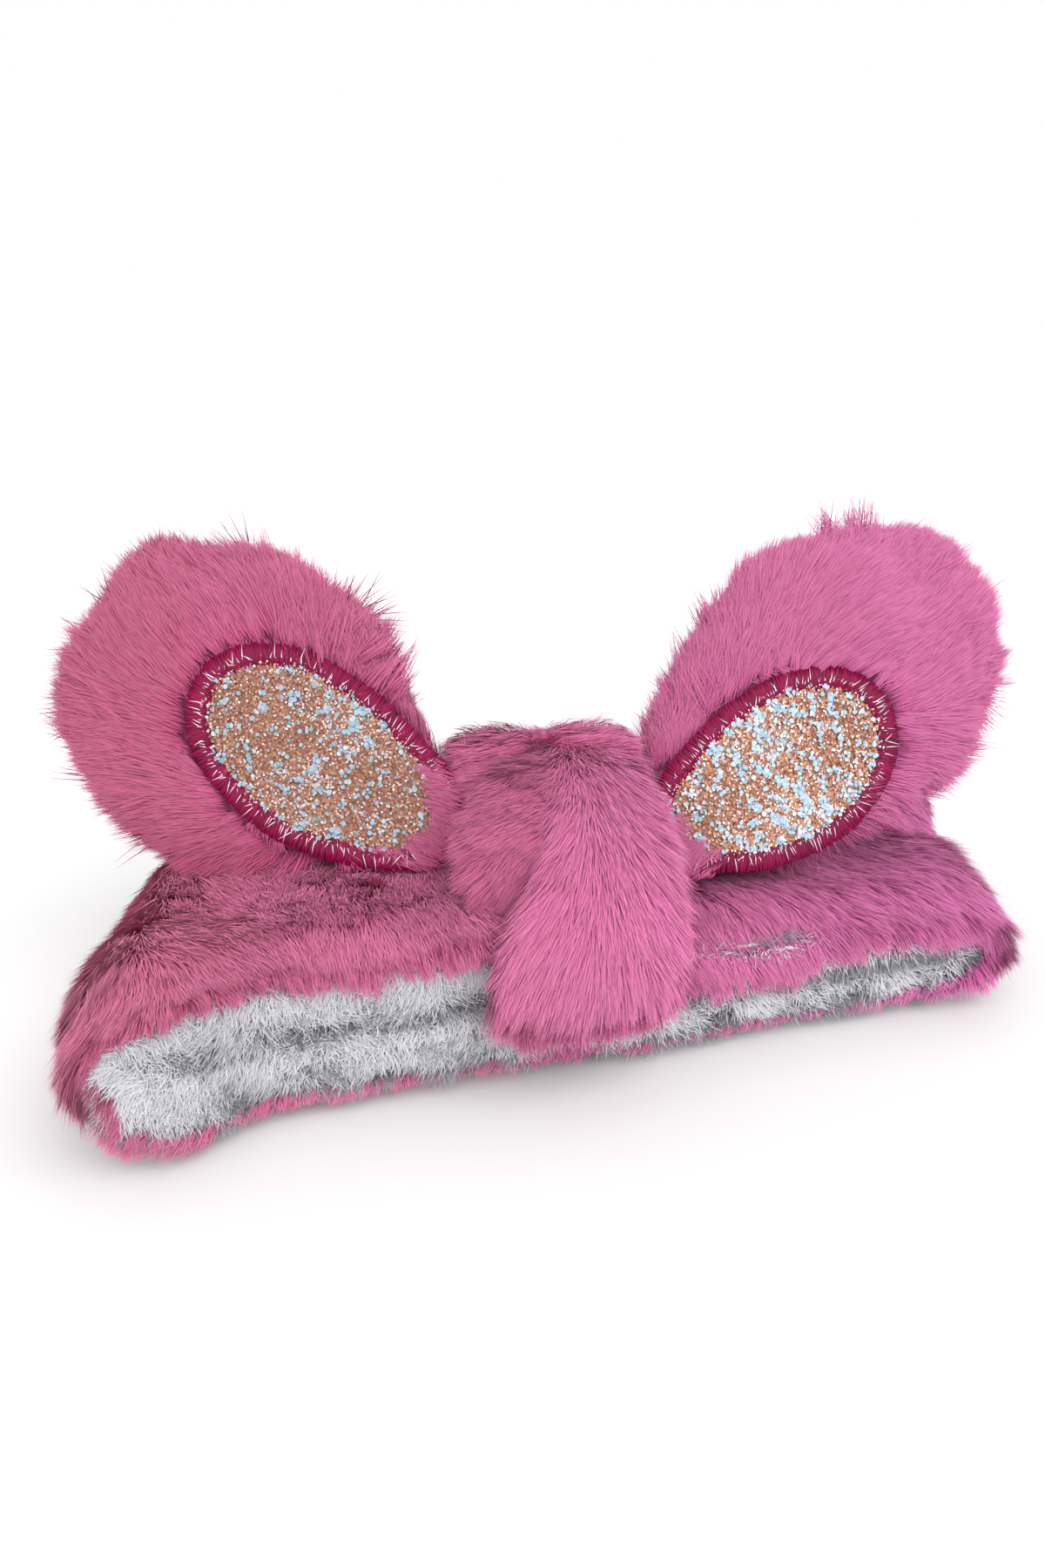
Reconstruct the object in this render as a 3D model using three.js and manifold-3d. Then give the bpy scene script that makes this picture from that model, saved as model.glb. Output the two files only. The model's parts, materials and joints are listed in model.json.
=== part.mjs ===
// Plush rabbit-ear hair band: a stretchy loop of long-pile plush lined with short white
// pile, lying flat on its back half, with two padded ears standing up out of a centre wrap.
// Millimetres. X runs along the flattened loop, Y from the loop's face edge to its crown
// edge, Z is up. The origin is on the surface that the band rests on, under the wrap.

import * as THREE from 'three';
import { mergeVertices } from 'three/addons/utils/BufferGeometryUtils.js';
import Module from 'manifold-3d';

const wasm = await Module();
wasm.setup();

// ---------------------------------------------------------------- driving dimensions

const CLEARANCE = 0.3;            // between pieces that touch
const SEAT_CLEARANCE = 0.4;       // between the wrap and what it is drawn tight around

// The flattened loop
const LOOP_LEFT = 108;            // middle of the wrap to the left fold
const LOOP_RIGHT = 114;           // middle of the wrap to the right fold
const BAND_WIDTH = 80;            // face edge to crown edge
const BAND_SKEW = 0.12;           // how far the loop leans along X for each millimetre of Y
const LEFT_FOLD_REACH = 26;       // the full, open fold
const RIGHT_FOLD_REACH = 23;      // the tight fold
const LEFT_FOLD_FLARE = 6;        // how far the full fold stands out past the face edge

// Thickness of each layer at the left and the right of the wrap, from the bottom up
const OUTER_BACK = { left: 6.5, right: 5 };
const ELASTIC = { left: 1.2, right: 1.2 };
const LINING_BACK = { left: 8.6, right: 4.7 };
const SLIT = { left: 6.5, right: 5.5 };
const LINING_FRONT = { left: 8.6, right: 4.5 };
const WADDING = { left: 3, right: 3 };
const OUTER_FRONT = { left: 7.5, right: 9.5 };

const ELASTIC_WIDTH = 36;         // along Y
const WADDING_MARGIN = 6;         // wadding to the edge of the plush around it
const SLIT_END_REACH = 5;         // how far the slit runs on into each fold
const PLUSH_EDGE = { size: 2.2, depth: 7 };
const LINING_EDGE = { size: 1.4, depth: 4 };

// The centre wrap
const WRAP_WIDTH = 46;            // along X, round the band
const KNOT_WIDTH = 34;            // along X, round the roots of the ears
const WRAP_LEAN = 4;              // how far its hem is drawn to the left of the knot
const WRAP_THICKNESS = 9;
const WRAP_HEM_HEIGHT = 10.5;     // lowest edge of the wrap over the band's edges
const KNOT_DEPTH = 32;            // along Y, at the top of the wrap

// The bow of two ears
const BOW_TILT = 63;              // degrees, plane of the ears from the surface
const BOW_TURN = -8;              // degrees about Z
const GATHER_HEIGHT = 20;         // the two roots sewn together, in the plane of the ears
const GATHER_THICKNESS = 16;
const EAR_LENGTH = 98;
const EAR_WIDTH = 66;
const EAR_THICKNESS = 24;
const EAR_ROOT_RADIUS = 14;
const EAR_EDGE = { size: 8, depth: 10 };
const PETAL_FLARE = 24;           // degrees, how fast an ear and its patch widen
const PIVOT_OUT = 32;             // middle of the bow to the middle of an ear's root
const PIVOT_UP = 7;
const SEAM_GAP = 0.3;             // between an ear's front and back panel
const PLUSH_WALL = 6;             // plush and pile round an ear's filling

// The appliqué on each ear
const PATCH_START = -2;           // from the middle of the ear's root
const PATCH_LENGTH = 50;
const PATCH_WIDTH = 32;
const PATCH_ROOT_RADIUS = 11;
const PATCH_THICKNESS = 1.2;
const BORDER_WIDTH = 3.5;
const BORDER_THICKNESS = 2;
const BACKING_MARGIN = 2;         // backing sheet past the edge of the patch
const BACKING_THICKNESS = 0.6;
const PATCH_SINK = 2.5;           // depth of the pile that the patch lies in

// The two ears, as they stand
const EARS = [
  { side: 'left', sign: -1, lift: 30, patchTurn: 1, patchDrop: 1 },
  { side: 'right', sign: 1, lift: 28, patchTurn: -8, patchDrop: 5.5 },
];

const RAMP_STEPS = 8;
const FOLD_STEPS = 9;
const CURVE_STEPS = 5;
const EDGE_STEPS = 3;
const REACH = 400;                // larger than the object, for cutting blocks

// ---------------------------------------------------------------- materials

function cloth(colour, roughness, metalness = 0) {
  return new THREE.MeshStandardMaterial({ color: colour, roughness, metalness });
}

const PLUSH = '#c8649a';
const EAR_PLUSH = '#c4628f';
const LINING = '#eef0f4';
const WADDING_WHITE = '#e6e3dc';
const ELASTIC_WHITE = '#dedad2';
const BACKING_GREY = '#b9b6b0';
const GLITTER = '#d9a98a';
const SATIN = '#9e1060';

// ---------------------------------------------------------------- solids

// A closed geometry as a solid, with its vertices shared between faces.
function solidOf(geometry) {
  const bare = geometry.index ? geometry.toNonIndexed() : geometry.clone();
  bare.deleteAttribute('normal');
  bare.deleteAttribute('uv');
  const merged = mergeVertices(bare, 1e-4);
  const mesh = new wasm.Mesh({
    numProp: 3,
    vertProperties: new Float32Array(merged.attributes.position.array),
    triVerts: new Uint32Array(merged.index.array),
  });
  return new wasm.Manifold(mesh);
}

function geometryOf(solid) {
  const mesh = solid.getMesh();
  const geometry = new THREE.BufferGeometry();
  geometry.setAttribute('position', new THREE.BufferAttribute(mesh.vertProperties, 3));
  geometry.setIndex(new THREE.BufferAttribute(mesh.triVerts, 1));
  geometry.computeVertexNormals();
  return geometry;
}

function namedMesh(name, geometry, material) {
  const mesh = new THREE.Mesh(geometry, material);
  mesh.name = name;
  return mesh;
}

// A shape in X and Z, drawn out along Y between two places, with its rims rounded over.
function alongY(shape, from, to, edge = null) {
  const depth = edge ? to - from - 2 * edge.depth : to - from;
  const geometry = new THREE.ExtrudeGeometry(shape, {
    depth,
    bevelEnabled: edge !== null,
    bevelThickness: edge ? edge.depth : 0,
    bevelSize: edge ? edge.size : 0,
    bevelOffset: edge ? -edge.size : 0,
    bevelSegments: EDGE_STEPS,
    curveSegments: CURVE_STEPS,
  });
  geometry.rotateX(Math.PI / 2);
  geometry.translate(0, to - (edge ? edge.depth : 0), 0);
  return geometry;
}

// A shape in Y and Z, drawn out along X and centred there.
function alongX(shape, width) {
  const geometry = new THREE.ExtrudeGeometry(shape, {
    depth: width,
    bevelEnabled: false,
    curveSegments: CURVE_STEPS,
  });
  geometry.translate(0, 0, -width / 2);
  geometry.applyMatrix4(new THREE.Matrix4().makeBasis(
    new THREE.Vector3(0, 1, 0),
    new THREE.Vector3(0, 0, 1),
    new THREE.Vector3(1, 0, 0),
  ));
  return geometry;
}

// The lean of the loop, the same for everything sewn into it.
function skewed(geometry) {
  return geometry.applyMatrix4(new THREE.Matrix4().makeShear(0, 0, BAND_SKEW, 0, 0, 0));
}

// ---------------------------------------------------------------- heights of the layers

// A height that is level on each side of the wrap and runs smoothly between them under it.
function level(left, right) {
  const height = (x) => left + (right - left) * THREE.MathUtils.smoothstep(
    x, -WRAP_WIDTH / 2, WRAP_WIDTH / 2);
  return Object.assign(height, { left, right });
}

function raised(below, layer, gap = 0) {
  return level(below.left + layer.left + gap, below.right + layer.right + gap);
}

const NOTHING = { left: 0, right: 0 };
const floor = level(0, 0);
const outerBackTop = raised(floor, OUTER_BACK);
const elasticBase = raised(outerBackTop, NOTHING, CLEARANCE);
const elasticTop = raised(elasticBase, ELASTIC);
const liningBackBase = raised(elasticTop, NOTHING, CLEARANCE);
const liningBackTop = raised(liningBackBase, LINING_BACK);
const liningFrontBase = raised(liningBackTop, SLIT);
const liningFrontTop = raised(liningFrontBase, LINING_FRONT);
const waddingBase = raised(liningFrontTop, NOTHING, CLEARANCE);
const waddingTop = raised(waddingBase, WADDING);
const outerFrontBase = raised(waddingTop, NOTHING, CLEARANCE);
const outerFrontTop = raised(outerFrontBase, OUTER_FRONT);

const faceEdge = -BAND_WIDTH / 2;
const crownEdge = BAND_WIDTH / 2;
const leftSpan = LOOP_LEFT - LEFT_FOLD_REACH;
const rightSpan = LOOP_RIGHT - RIGHT_FOLD_REACH;

// ---------------------------------------------------------------- the band

// The outline, in X and Z, of a layer between two heights. Every layer changes height at the
// same places under the wrap, so neighbours stay parallel.
function layerShape(base, top, from, to) {
  const stations = [from];
  for (let i = 0; i <= RAMP_STEPS; i += 1) {
    stations.push(WRAP_WIDTH * (i / RAMP_STEPS - 0.5));
  }
  stations.push(to);
  const under = stations.map((x) => new THREE.Vector2(x, base(x)));
  const over = stations.map((x) => new THREE.Vector2(x, top(x)));
  return new THREE.Shape([...under, ...over.reverse()]);
}

function bandLayer(name, base, top, material, edge) {
  const shape = layerShape(base, top, -leftSpan, rightSpan);
  return namedMesh(name, skewed(alongY(shape, faceEdge, crownEdge, edge)), material);
}

// Half an ellipse that joins two heights at the end of the span.
function foldCurve(sign, span, low, high, reach) {
  const points = [];
  for (let i = 0; i <= FOLD_STEPS; i += 1) {
    const angle = Math.PI * (i / FOLD_STEPS - 0.5);
    const x = sign * (span + reach * Math.cos(angle));
    points.push(new THREE.Vector2(x, (low + high) / 2 + (high - low) / 2 * Math.sin(angle)));
  }
  return points;
}

// Where a layer turns round the end of the loop, from the back half to the front half.
function bandFold(name, side, outside, inside, material, edge) {
  const sign = side === 'left' ? -1 : 1;
  const span = (side === 'left' ? leftSpan : rightSpan) + CLEARANCE;
  const flare = side === 'left' ? LEFT_FOLD_FLARE : 0;
  const outer = foldCurve(sign, span, outside.low[side], outside.high[side], outside.reach);
  const inner = foldCurve(sign, span, inside.low[side], inside.high[side], inside.reach);
  const shape = new THREE.Shape([...outer, ...inner.reverse()]);
  return namedMesh(name, skewed(alongY(shape, faceEdge - flare, crownEdge, edge)), material);
}

function makeBand() {
  const band = new THREE.Group();
  const plush = () => cloth(PLUSH, 0.95);
  const lining = () => cloth(LINING, 0.95);
  band.add(
    bandLayer('band_outer_back', floor, outerBackTop, plush(), PLUSH_EDGE),
    bandLayer('band_lining_back', liningBackBase, liningBackTop, lining(), LINING_EDGE),
    bandLayer('band_lining_front', liningFrontBase, liningFrontTop, lining(), LINING_EDGE),
    bandLayer('band_outer_front', outerFrontBase, outerFrontTop, plush(), PLUSH_EDGE),
  );

  const strip = layerShape(elasticBase, elasticTop, -leftSpan, rightSpan);
  const elastic = skewed(alongY(strip, -ELASTIC_WIDTH / 2, ELASTIC_WIDTH / 2));
  band.add(namedMesh('band_elastic', elastic, cloth(ELASTIC_WHITE, 0.8)));

  const pad = layerShape(
    waddingBase, waddingTop, WADDING_MARGIN - leftSpan, rightSpan - WADDING_MARGIN);
  const wadding = skewed(alongY(pad, faceEdge + WADDING_MARGIN, crownEdge - WADDING_MARGIN));
  band.add(namedMesh('front_wadding', wadding, cloth(WADDING_WHITE, 1)));

  for (const [side, reach] of [['left', LEFT_FOLD_REACH], ['right', RIGHT_FOLD_REACH]]) {
    const wall = OUTER_BACK[side] + 2 * CLEARANCE + ELASTIC[side];
    const plushInside = { low: outerBackTop, high: outerFrontBase, reach: reach - wall };
    const liningOutside = {
      low: liningBackBase,
      high: liningFrontTop,
      reach: reach - wall - CLEARANCE,
    };
    const slitEnd = { low: liningBackTop, high: liningFrontBase, reach: SLIT_END_REACH };
    const plushOutside = { low: floor, high: outerFrontTop, reach };
    band.add(
      bandFold(`band_outer_${side}_fold`, side, plushOutside, plushInside, plush(),
        PLUSH_EDGE),
      bandFold(`band_lining_${side}_fold`, side, liningOutside, slitEnd, lining(),
        LINING_EDGE),
    );
  }
  return band;
}

// ---------------------------------------------------------------- the bow of ears

const tilt = THREE.MathUtils.degToRad(BOW_TILT);
const gatherRise = Math.hypot(
  GATHER_HEIGHT / 2 * Math.sin(tilt), GATHER_THICKNESS / 2 * Math.cos(tilt));
const bowHeight = outerFrontTop.left + 2 * SEAT_CLEARANCE + gatherRise;

const bowFrame = new THREE.Matrix4().compose(
  new THREE.Vector3(0, 0, bowHeight),
  new THREE.Quaternion().setFromEuler(
    new THREE.Euler(tilt, 0, THREE.MathUtils.degToRad(BOW_TURN), 'ZYX')),
  new THREE.Vector3(1, 1, 1),
);

// A petal that lies along X: a round root that opens at PETAL_FLARE to its widest place,
// past the middle, and a round tip.
function petal(start, rootRadius, length, width) {
  const flare = THREE.MathUtils.degToRad(PETAL_FLARE);
  const shoulder = start + rootRadius;
  const end = start + length;
  const widest = start + length * 0.6;
  const half = width / 2;
  const pull = length * 0.22;
  const side = new THREE.Vector2(
    shoulder - rootRadius * Math.sin(flare), rootRadius * Math.cos(flare));
  const lean = new THREE.Vector2(
    side.x + pull * Math.cos(flare), side.y + pull * Math.sin(flare));
  const shape = new THREE.Shape();
  shape.moveTo(side.x, -side.y);
  shape.bezierCurveTo(lean.x, -lean.y, widest - pull, -half, widest, -half);
  shape.bezierCurveTo(widest + pull, -half, end, -half * 0.6, end, 0);
  shape.bezierCurveTo(end, half * 0.6, widest + pull, half, widest, half);
  shape.bezierCurveTo(widest - pull, half, lean.x, lean.y, side.x, side.y);
  shape.absarc(shoulder, 0, rootRadius, Math.PI / 2 + flare, Math.PI * 1.5 - flare, false);
  return shape;
}

function grownPetal(by, { start, rootRadius, length, width }) {
  return petal(start - by, rootRadius + by, length + 2 * by, width + 2 * by);
}

const EAR_PETAL = {
  start: -EAR_ROOT_RADIUS,
  rootRadius: EAR_ROOT_RADIUS,
  length: EAR_LENGTH,
  width: EAR_WIDTH,
};
const PATCH_PETAL = {
  start: PATCH_START,
  rootRadius: PATCH_ROOT_RADIUS,
  length: PATCH_LENGTH,
  width: PATCH_WIDTH,
};

// A pillow whose faces are flat in the middle and roll over to its outline.
function pillow(inset, thickness, edge) {
  const geometry = new THREE.ExtrudeGeometry(grownPetal(-inset, EAR_PETAL), {
    depth: thickness - 2 * edge.depth,
    bevelEnabled: true,
    bevelThickness: edge.depth,
    bevelSize: edge.size,
    bevelOffset: -edge.size,
    bevelSegments: EDGE_STEPS,
    curveSegments: CURVE_STEPS,
  });
  geometry.translate(0, 0, edge.depth - thickness / 2);
  return solidOf(geometry);
}

// A flat sheet of the patch's outline, grown by some margin, between two heights.
function sheet(ear, by, from, to, hole = null) {
  const shape = grownPetal(by, PATCH_PETAL);
  if (hole !== null) {
    shape.holes.push(grownPetal(hole, PATCH_PETAL));
  }
  const geometry = new THREE.ExtrudeGeometry(shape, {
    depth: to - from,
    bevelEnabled: false,
    curveSegments: CURVE_STEPS,
  });
  geometry.rotateZ(ear.sign * THREE.MathUtils.degToRad(ear.patchTurn));
  geometry.translate(0, -ear.sign * ear.patchDrop, from);
  return geometry;
}

function halfSpace(up) {
  const block = new THREE.BoxGeometry(REACH, REACH, REACH);
  block.translate(0, 0, up * (REACH + SEAM_GAP) / 2);
  return solidOf(block);
}

function makeEar(ear) {
  const group = new THREE.Group();
  group.position.set(ear.sign * PIVOT_OUT, PIVOT_UP, 0);
  const lift = THREE.MathUtils.degToRad(ear.lift);
  group.rotation.z = ear.sign > 0 ? lift : Math.PI - lift;

  const face = EAR_THICKNESS / 2;
  const fillingHalf = face - PLUSH_WALL;
  const fillingEdge = { size: PLUSH_WALL, depth: fillingHalf - 1 };
  const hollow = pillow(
    PLUSH_WALL - CLEARANCE, 2 * (fillingHalf + CLEARANCE), fillingEdge);
  const body = pillow(0, EAR_THICKNESS, EAR_EDGE).subtract(hollow);
  const patchBase = face - PATCH_SINK + CLEARANCE;
  const backingBase = fillingHalf + CLEARANCE;
  const backingTop = backingBase + BACKING_THICKNESS;
  const patchSeat = solidOf(
    sheet(ear, BORDER_WIDTH + CLEARANCE, face - PATCH_SINK, face + 1));
  const backingSeat = solidOf(
    sheet(ear, BACKING_MARGIN + CLEARANCE, 0, backingTop + CLEARANCE));
  const front = body.intersect(halfSpace(1)).subtract(patchSeat).subtract(backingSeat);
  const back = body.intersect(halfSpace(-1));
  const filling = pillow(PLUSH_WALL, 2 * fillingHalf, fillingEdge);

  const name = (piece) => `${ear.side}_ear_${piece}`;
  group.add(
    namedMesh(name('front_panel'), geometryOf(front), cloth(EAR_PLUSH, 0.95)),
    namedMesh(name('back_panel'), geometryOf(back), cloth(EAR_PLUSH, 0.95)),
    namedMesh(name('filling'), geometryOf(filling), cloth(WADDING_WHITE, 1)),
    namedMesh(
      name('backing_sheet'),
      sheet(ear, BACKING_MARGIN, backingBase, backingTop),
      cloth(BACKING_GREY, 0.9)),
    namedMesh(
      name('glitter_patch'),
      sheet(ear, 0, patchBase, patchBase + PATCH_THICKNESS),
      cloth(GLITTER, 0.35, 0.4)),
    namedMesh(
      name('satin_border'),
      sheet(ear, BORDER_WIDTH, patchBase, patchBase + BORDER_THICKNESS, CLEARANCE),
      cloth(SATIN, 0.4)),
  );
  return group;
}

// The room that an ear's round root needs to turn in.
function rootRoom(sign) {
  const reach = EAR_ROOT_RADIUS - EAR_EDGE.size + EAR_EDGE.size * Math.SQRT1_2;
  const rise = EAR_THICKNESS / 2 - EAR_EDGE.depth + EAR_EDGE.depth * Math.SQRT1_2;
  const ball = new THREE.SphereGeometry(Math.hypot(reach, rise) + 2 * SEAT_CLEARANCE, 20, 14);
  ball.translate(sign * PIVOT_OUT, PIVOT_UP, 0);
  return solidOf(ball.applyMatrix4(bowFrame));
}

// The two ears' roots, gathered and sewn to each other inside the knot.
function gather(by) {
  const oval = new THREE.Shape();
  oval.absellipse(0, 0, GATHER_HEIGHT / 2 + by, GATHER_THICKNESS / 2 + by, 0, 2 * Math.PI);
  return solidOf(alongX(oval, 2 * PIVOT_OUT).applyMatrix4(bowFrame));
}

// ---------------------------------------------------------------- the centre wrap

// Everything of the front half that the wrap is drawn round, with room to spare.
function wrappedBand() {
  const top = raised(outerFrontTop, NOTHING, SEAT_CLEARANCE);
  const shape = layerShape(level(-1, -1), top, -WRAP_WIDTH, WRAP_WIDTH);
  return solidOf(skewed(
    alongY(shape, faceEdge - SEAT_CLEARANCE, crownEdge + SEAT_CLEARANCE)));
}

// The sides of the wrap, which draw in from the band to the knot.
function wrapSides() {
  const foot = WRAP_WIDTH / 2;
  const neck = KNOT_WIDTH / 2;
  const shape = new THREE.Shape();
  shape.moveTo(-foot - WRAP_LEAN, 0);
  shape.lineTo(foot - WRAP_LEAN, 0);
  shape.lineTo(foot - WRAP_LEAN, outerFrontTop.right);
  shape.lineTo(neck, bowHeight);
  shape.lineTo(neck, 2 * bowHeight);
  shape.lineTo(-neck, 2 * bowHeight);
  shape.lineTo(-neck, bowHeight);
  shape.lineTo(-foot - WRAP_LEAN, outerFrontTop.right);
  return solidOf(alongY(shape, -BAND_WIDTH, BAND_WIDTH));
}

function makeWrap() {
  const group = new THREE.Group();
  const hem = BAND_WIDTH / 2 + WRAP_THICKNESS;
  const knotTop = bowHeight + gatherRise + WRAP_THICKNESS;
  const bell = new THREE.Shape();
  bell.moveTo(-hem, WRAP_HEM_HEIGHT);
  bell.lineTo(hem, WRAP_HEM_HEIGHT);
  bell.lineTo(hem, outerFrontTop.right - WRAP_THICKNESS);
  bell.quadraticCurveTo(hem, outerFrontTop.left, KNOT_DEPTH / 2, knotTop - WRAP_THICKNESS / 2);
  bell.quadraticCurveTo(0, knotTop + WRAP_THICKNESS / 2, -KNOT_DEPTH / 2,
    knotTop - WRAP_THICKNESS / 2);
  bell.quadraticCurveTo(-hem, outerFrontTop.left, -hem, outerFrontTop.right - WRAP_THICKNESS);

  const rooms = rootRoom(-1).add(rootRoom(1));
  const outer = solidOf(alongX(bell, 2 * WRAP_WIDTH))
    .intersect(wrapSides())
    .subtract(wrappedBand())
    .subtract(gather(SEAT_CLEARANCE))
    .subtract(rooms);
  group.add(namedMesh('wrap_outer', geometryOf(outer), cloth(PLUSH, 0.95)));

  const stripShape = layerShape(
    raised(liningBackTop, NOTHING, CLEARANCE),
    raised(liningFrontBase, NOTHING, -CLEARANCE),
    -WRAP_WIDTH, WRAP_WIDTH);
  const strip = solidOf(skewed(alongY(stripShape, faceEdge, crownEdge)))
    .intersect(wrapSides());
  group.add(namedMesh('wrap_inner', geometryOf(strip), cloth(PLUSH, 0.95)));

  const knotLength = new THREE.BoxGeometry(KNOT_WIDTH, REACH, REACH);
  const roots = gather(0).intersect(solidOf(knotLength)).subtract(rooms);
  group.add(namedMesh('ear_root_gather', geometryOf(roots), cloth(EAR_PLUSH, 0.95)));
  return group;
}

// ---------------------------------------------------------------- the object

const hairBand = new THREE.Group();
hairBand.add(makeBand());
hairBand.add(makeWrap());

const bow = new THREE.Group();
bow.applyMatrix4(bowFrame);
for (const ear of EARS) {
  bow.add(makeEar(ear));
}
hairBand.add(bow);

export default hairBand;
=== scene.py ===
"""Plush rabbit-ear hair band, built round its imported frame.

A loop of long-pile plush lined with white pile lies flat on its back half. Two padded ears with
glitter patches stand up out of a centre wrap. Every pile is made of real strands.
"""

import json
import math

import bmesh
import bpy
import numpy as np
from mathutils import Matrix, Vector, kdtree


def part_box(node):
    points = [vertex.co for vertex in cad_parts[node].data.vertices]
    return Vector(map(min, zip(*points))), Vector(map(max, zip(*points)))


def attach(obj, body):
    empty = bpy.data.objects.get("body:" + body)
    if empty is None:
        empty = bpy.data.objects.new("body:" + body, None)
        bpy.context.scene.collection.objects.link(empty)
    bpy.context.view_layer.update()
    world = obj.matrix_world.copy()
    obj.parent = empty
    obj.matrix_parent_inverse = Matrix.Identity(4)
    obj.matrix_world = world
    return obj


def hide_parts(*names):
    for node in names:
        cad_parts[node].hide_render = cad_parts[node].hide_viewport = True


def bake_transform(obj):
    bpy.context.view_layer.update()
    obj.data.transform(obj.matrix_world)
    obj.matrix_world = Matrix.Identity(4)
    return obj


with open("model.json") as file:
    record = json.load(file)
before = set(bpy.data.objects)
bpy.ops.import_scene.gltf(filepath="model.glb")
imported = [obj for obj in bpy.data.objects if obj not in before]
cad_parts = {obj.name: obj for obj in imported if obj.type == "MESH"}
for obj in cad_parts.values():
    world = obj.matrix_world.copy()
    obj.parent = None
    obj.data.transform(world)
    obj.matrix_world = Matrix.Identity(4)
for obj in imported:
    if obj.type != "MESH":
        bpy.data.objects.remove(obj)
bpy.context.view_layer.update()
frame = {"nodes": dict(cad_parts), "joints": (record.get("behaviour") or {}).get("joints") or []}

bl_info = {
    "name": "Plush rabbit-ear hair band",
    "version": (1, 0, 0),
    "blender": (4, 5, 0),
    "location": "3D View > Sidebar > Hair Band",
    "description": "Builds a plush hair band with padded rabbit ears round its frame",
    "category": "Add Mesh",
}

MM = 0.001
UP = np.array((0.0, 0.0, 1.0))


# ---------------------------------------------------------------- small tools


def unit(v):
    return v / np.maximum(np.linalg.norm(v, axis=-1, keepdims=True), 1e-12)


def smooth(t):
    t = np.clip(t, 0.0, 1.0)
    return t * t * (3 - 2 * t)


def ripple(points, wavelength, seed):
    """A smooth wandering value from about -1 to 1, the same on every run."""
    rng = np.random.default_rng(seed)
    total = np.zeros(len(points))
    for _ in range(6):
        way = unit(rng.normal(size=3)) * 2 * math.pi / (wavelength * rng.uniform(0.7, 1.5))
        total += np.sin(points @ way + rng.uniform(0, 2 * math.pi))
    return total / 2.6


def linear(hex_colour):
    """An sRGB hex colour as linear RGBA."""
    out = []
    for i in (1, 3, 5):
        c = int(hex_colour[i:i + 2], 16) / 255
        out.append(c / 12.92 if c <= 0.04045 else ((c + 0.055) / 1.055) ** 2.4)
    return (*out, 1.0)


def node_points(name):
    """The vertices of a CAD node, in metres."""
    mesh = frame["nodes"][name].data
    co = np.zeros(len(mesh.vertices) * 3, np.float32)
    mesh.vertices.foreach_get("co", co)
    return co.reshape(-1, 3).astype(float)


def piece_from(bm, name, material, collection=None):
    """A finished bmesh as an object at the origin."""
    bmesh.ops.remove_doubles(bm, verts=bm.verts, dist=1e-6)
    bmesh.ops.recalc_face_normals(bm, faces=bm.faces)
    for face in bm.faces:
        face.smooth = True
    mesh = bpy.data.meshes.new(name)
    bm.to_mesh(mesh)
    bm.free()
    piece = bpy.data.objects.new(name, mesh)
    bpy.context.scene.collection.objects.link(piece)
    mesh.materials.append(material)
    return piece


def move_verts(bm, positions):
    for vert, place in zip(bm.verts, positions):
        vert.co = place


def vert_array(bm):
    return np.array([v.co for v in bm.verts], float)


# ---------------------------------------------------------------- materials


def add_node(material, kind, links=None, **settings):
    """Adds a node with its settings, and links its inputs from other nodes' outputs."""
    tree = material.node_tree
    node = tree.nodes.new(kind)
    for key, value in settings.items():
        if hasattr(node, key):
            setattr(node, key, value)
        else:
            node.inputs[key.replace("_", " ")].default_value = value
    for socket, source in (links or {}).items():
        tree.links.new(source, node.inputs[socket])
    return node


def new_material(name, **shader):
    """A material with one Principled shader and the given values on its own sockets."""
    material = bpy.data.materials.new(name)
    material.use_nodes = True
    principled = material.node_tree.nodes["Principled BSDF"]
    for key, value in shader.items():
        principled.inputs[key.replace("_", " ")].default_value = value
    return material, principled


def colour_ramp(material, factor, stops):
    ramp = add_node(material, "ShaderNodeValToRGB", {"Fac": factor})
    elements = ramp.color_ramp.elements
    while len(elements) < len(stops):
        elements.new(0.5)
    for element, (place, colour) in zip(elements, stops):
        element.position = place
        element.color = linear(colour)
    return ramp.outputs["Color"]


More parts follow.
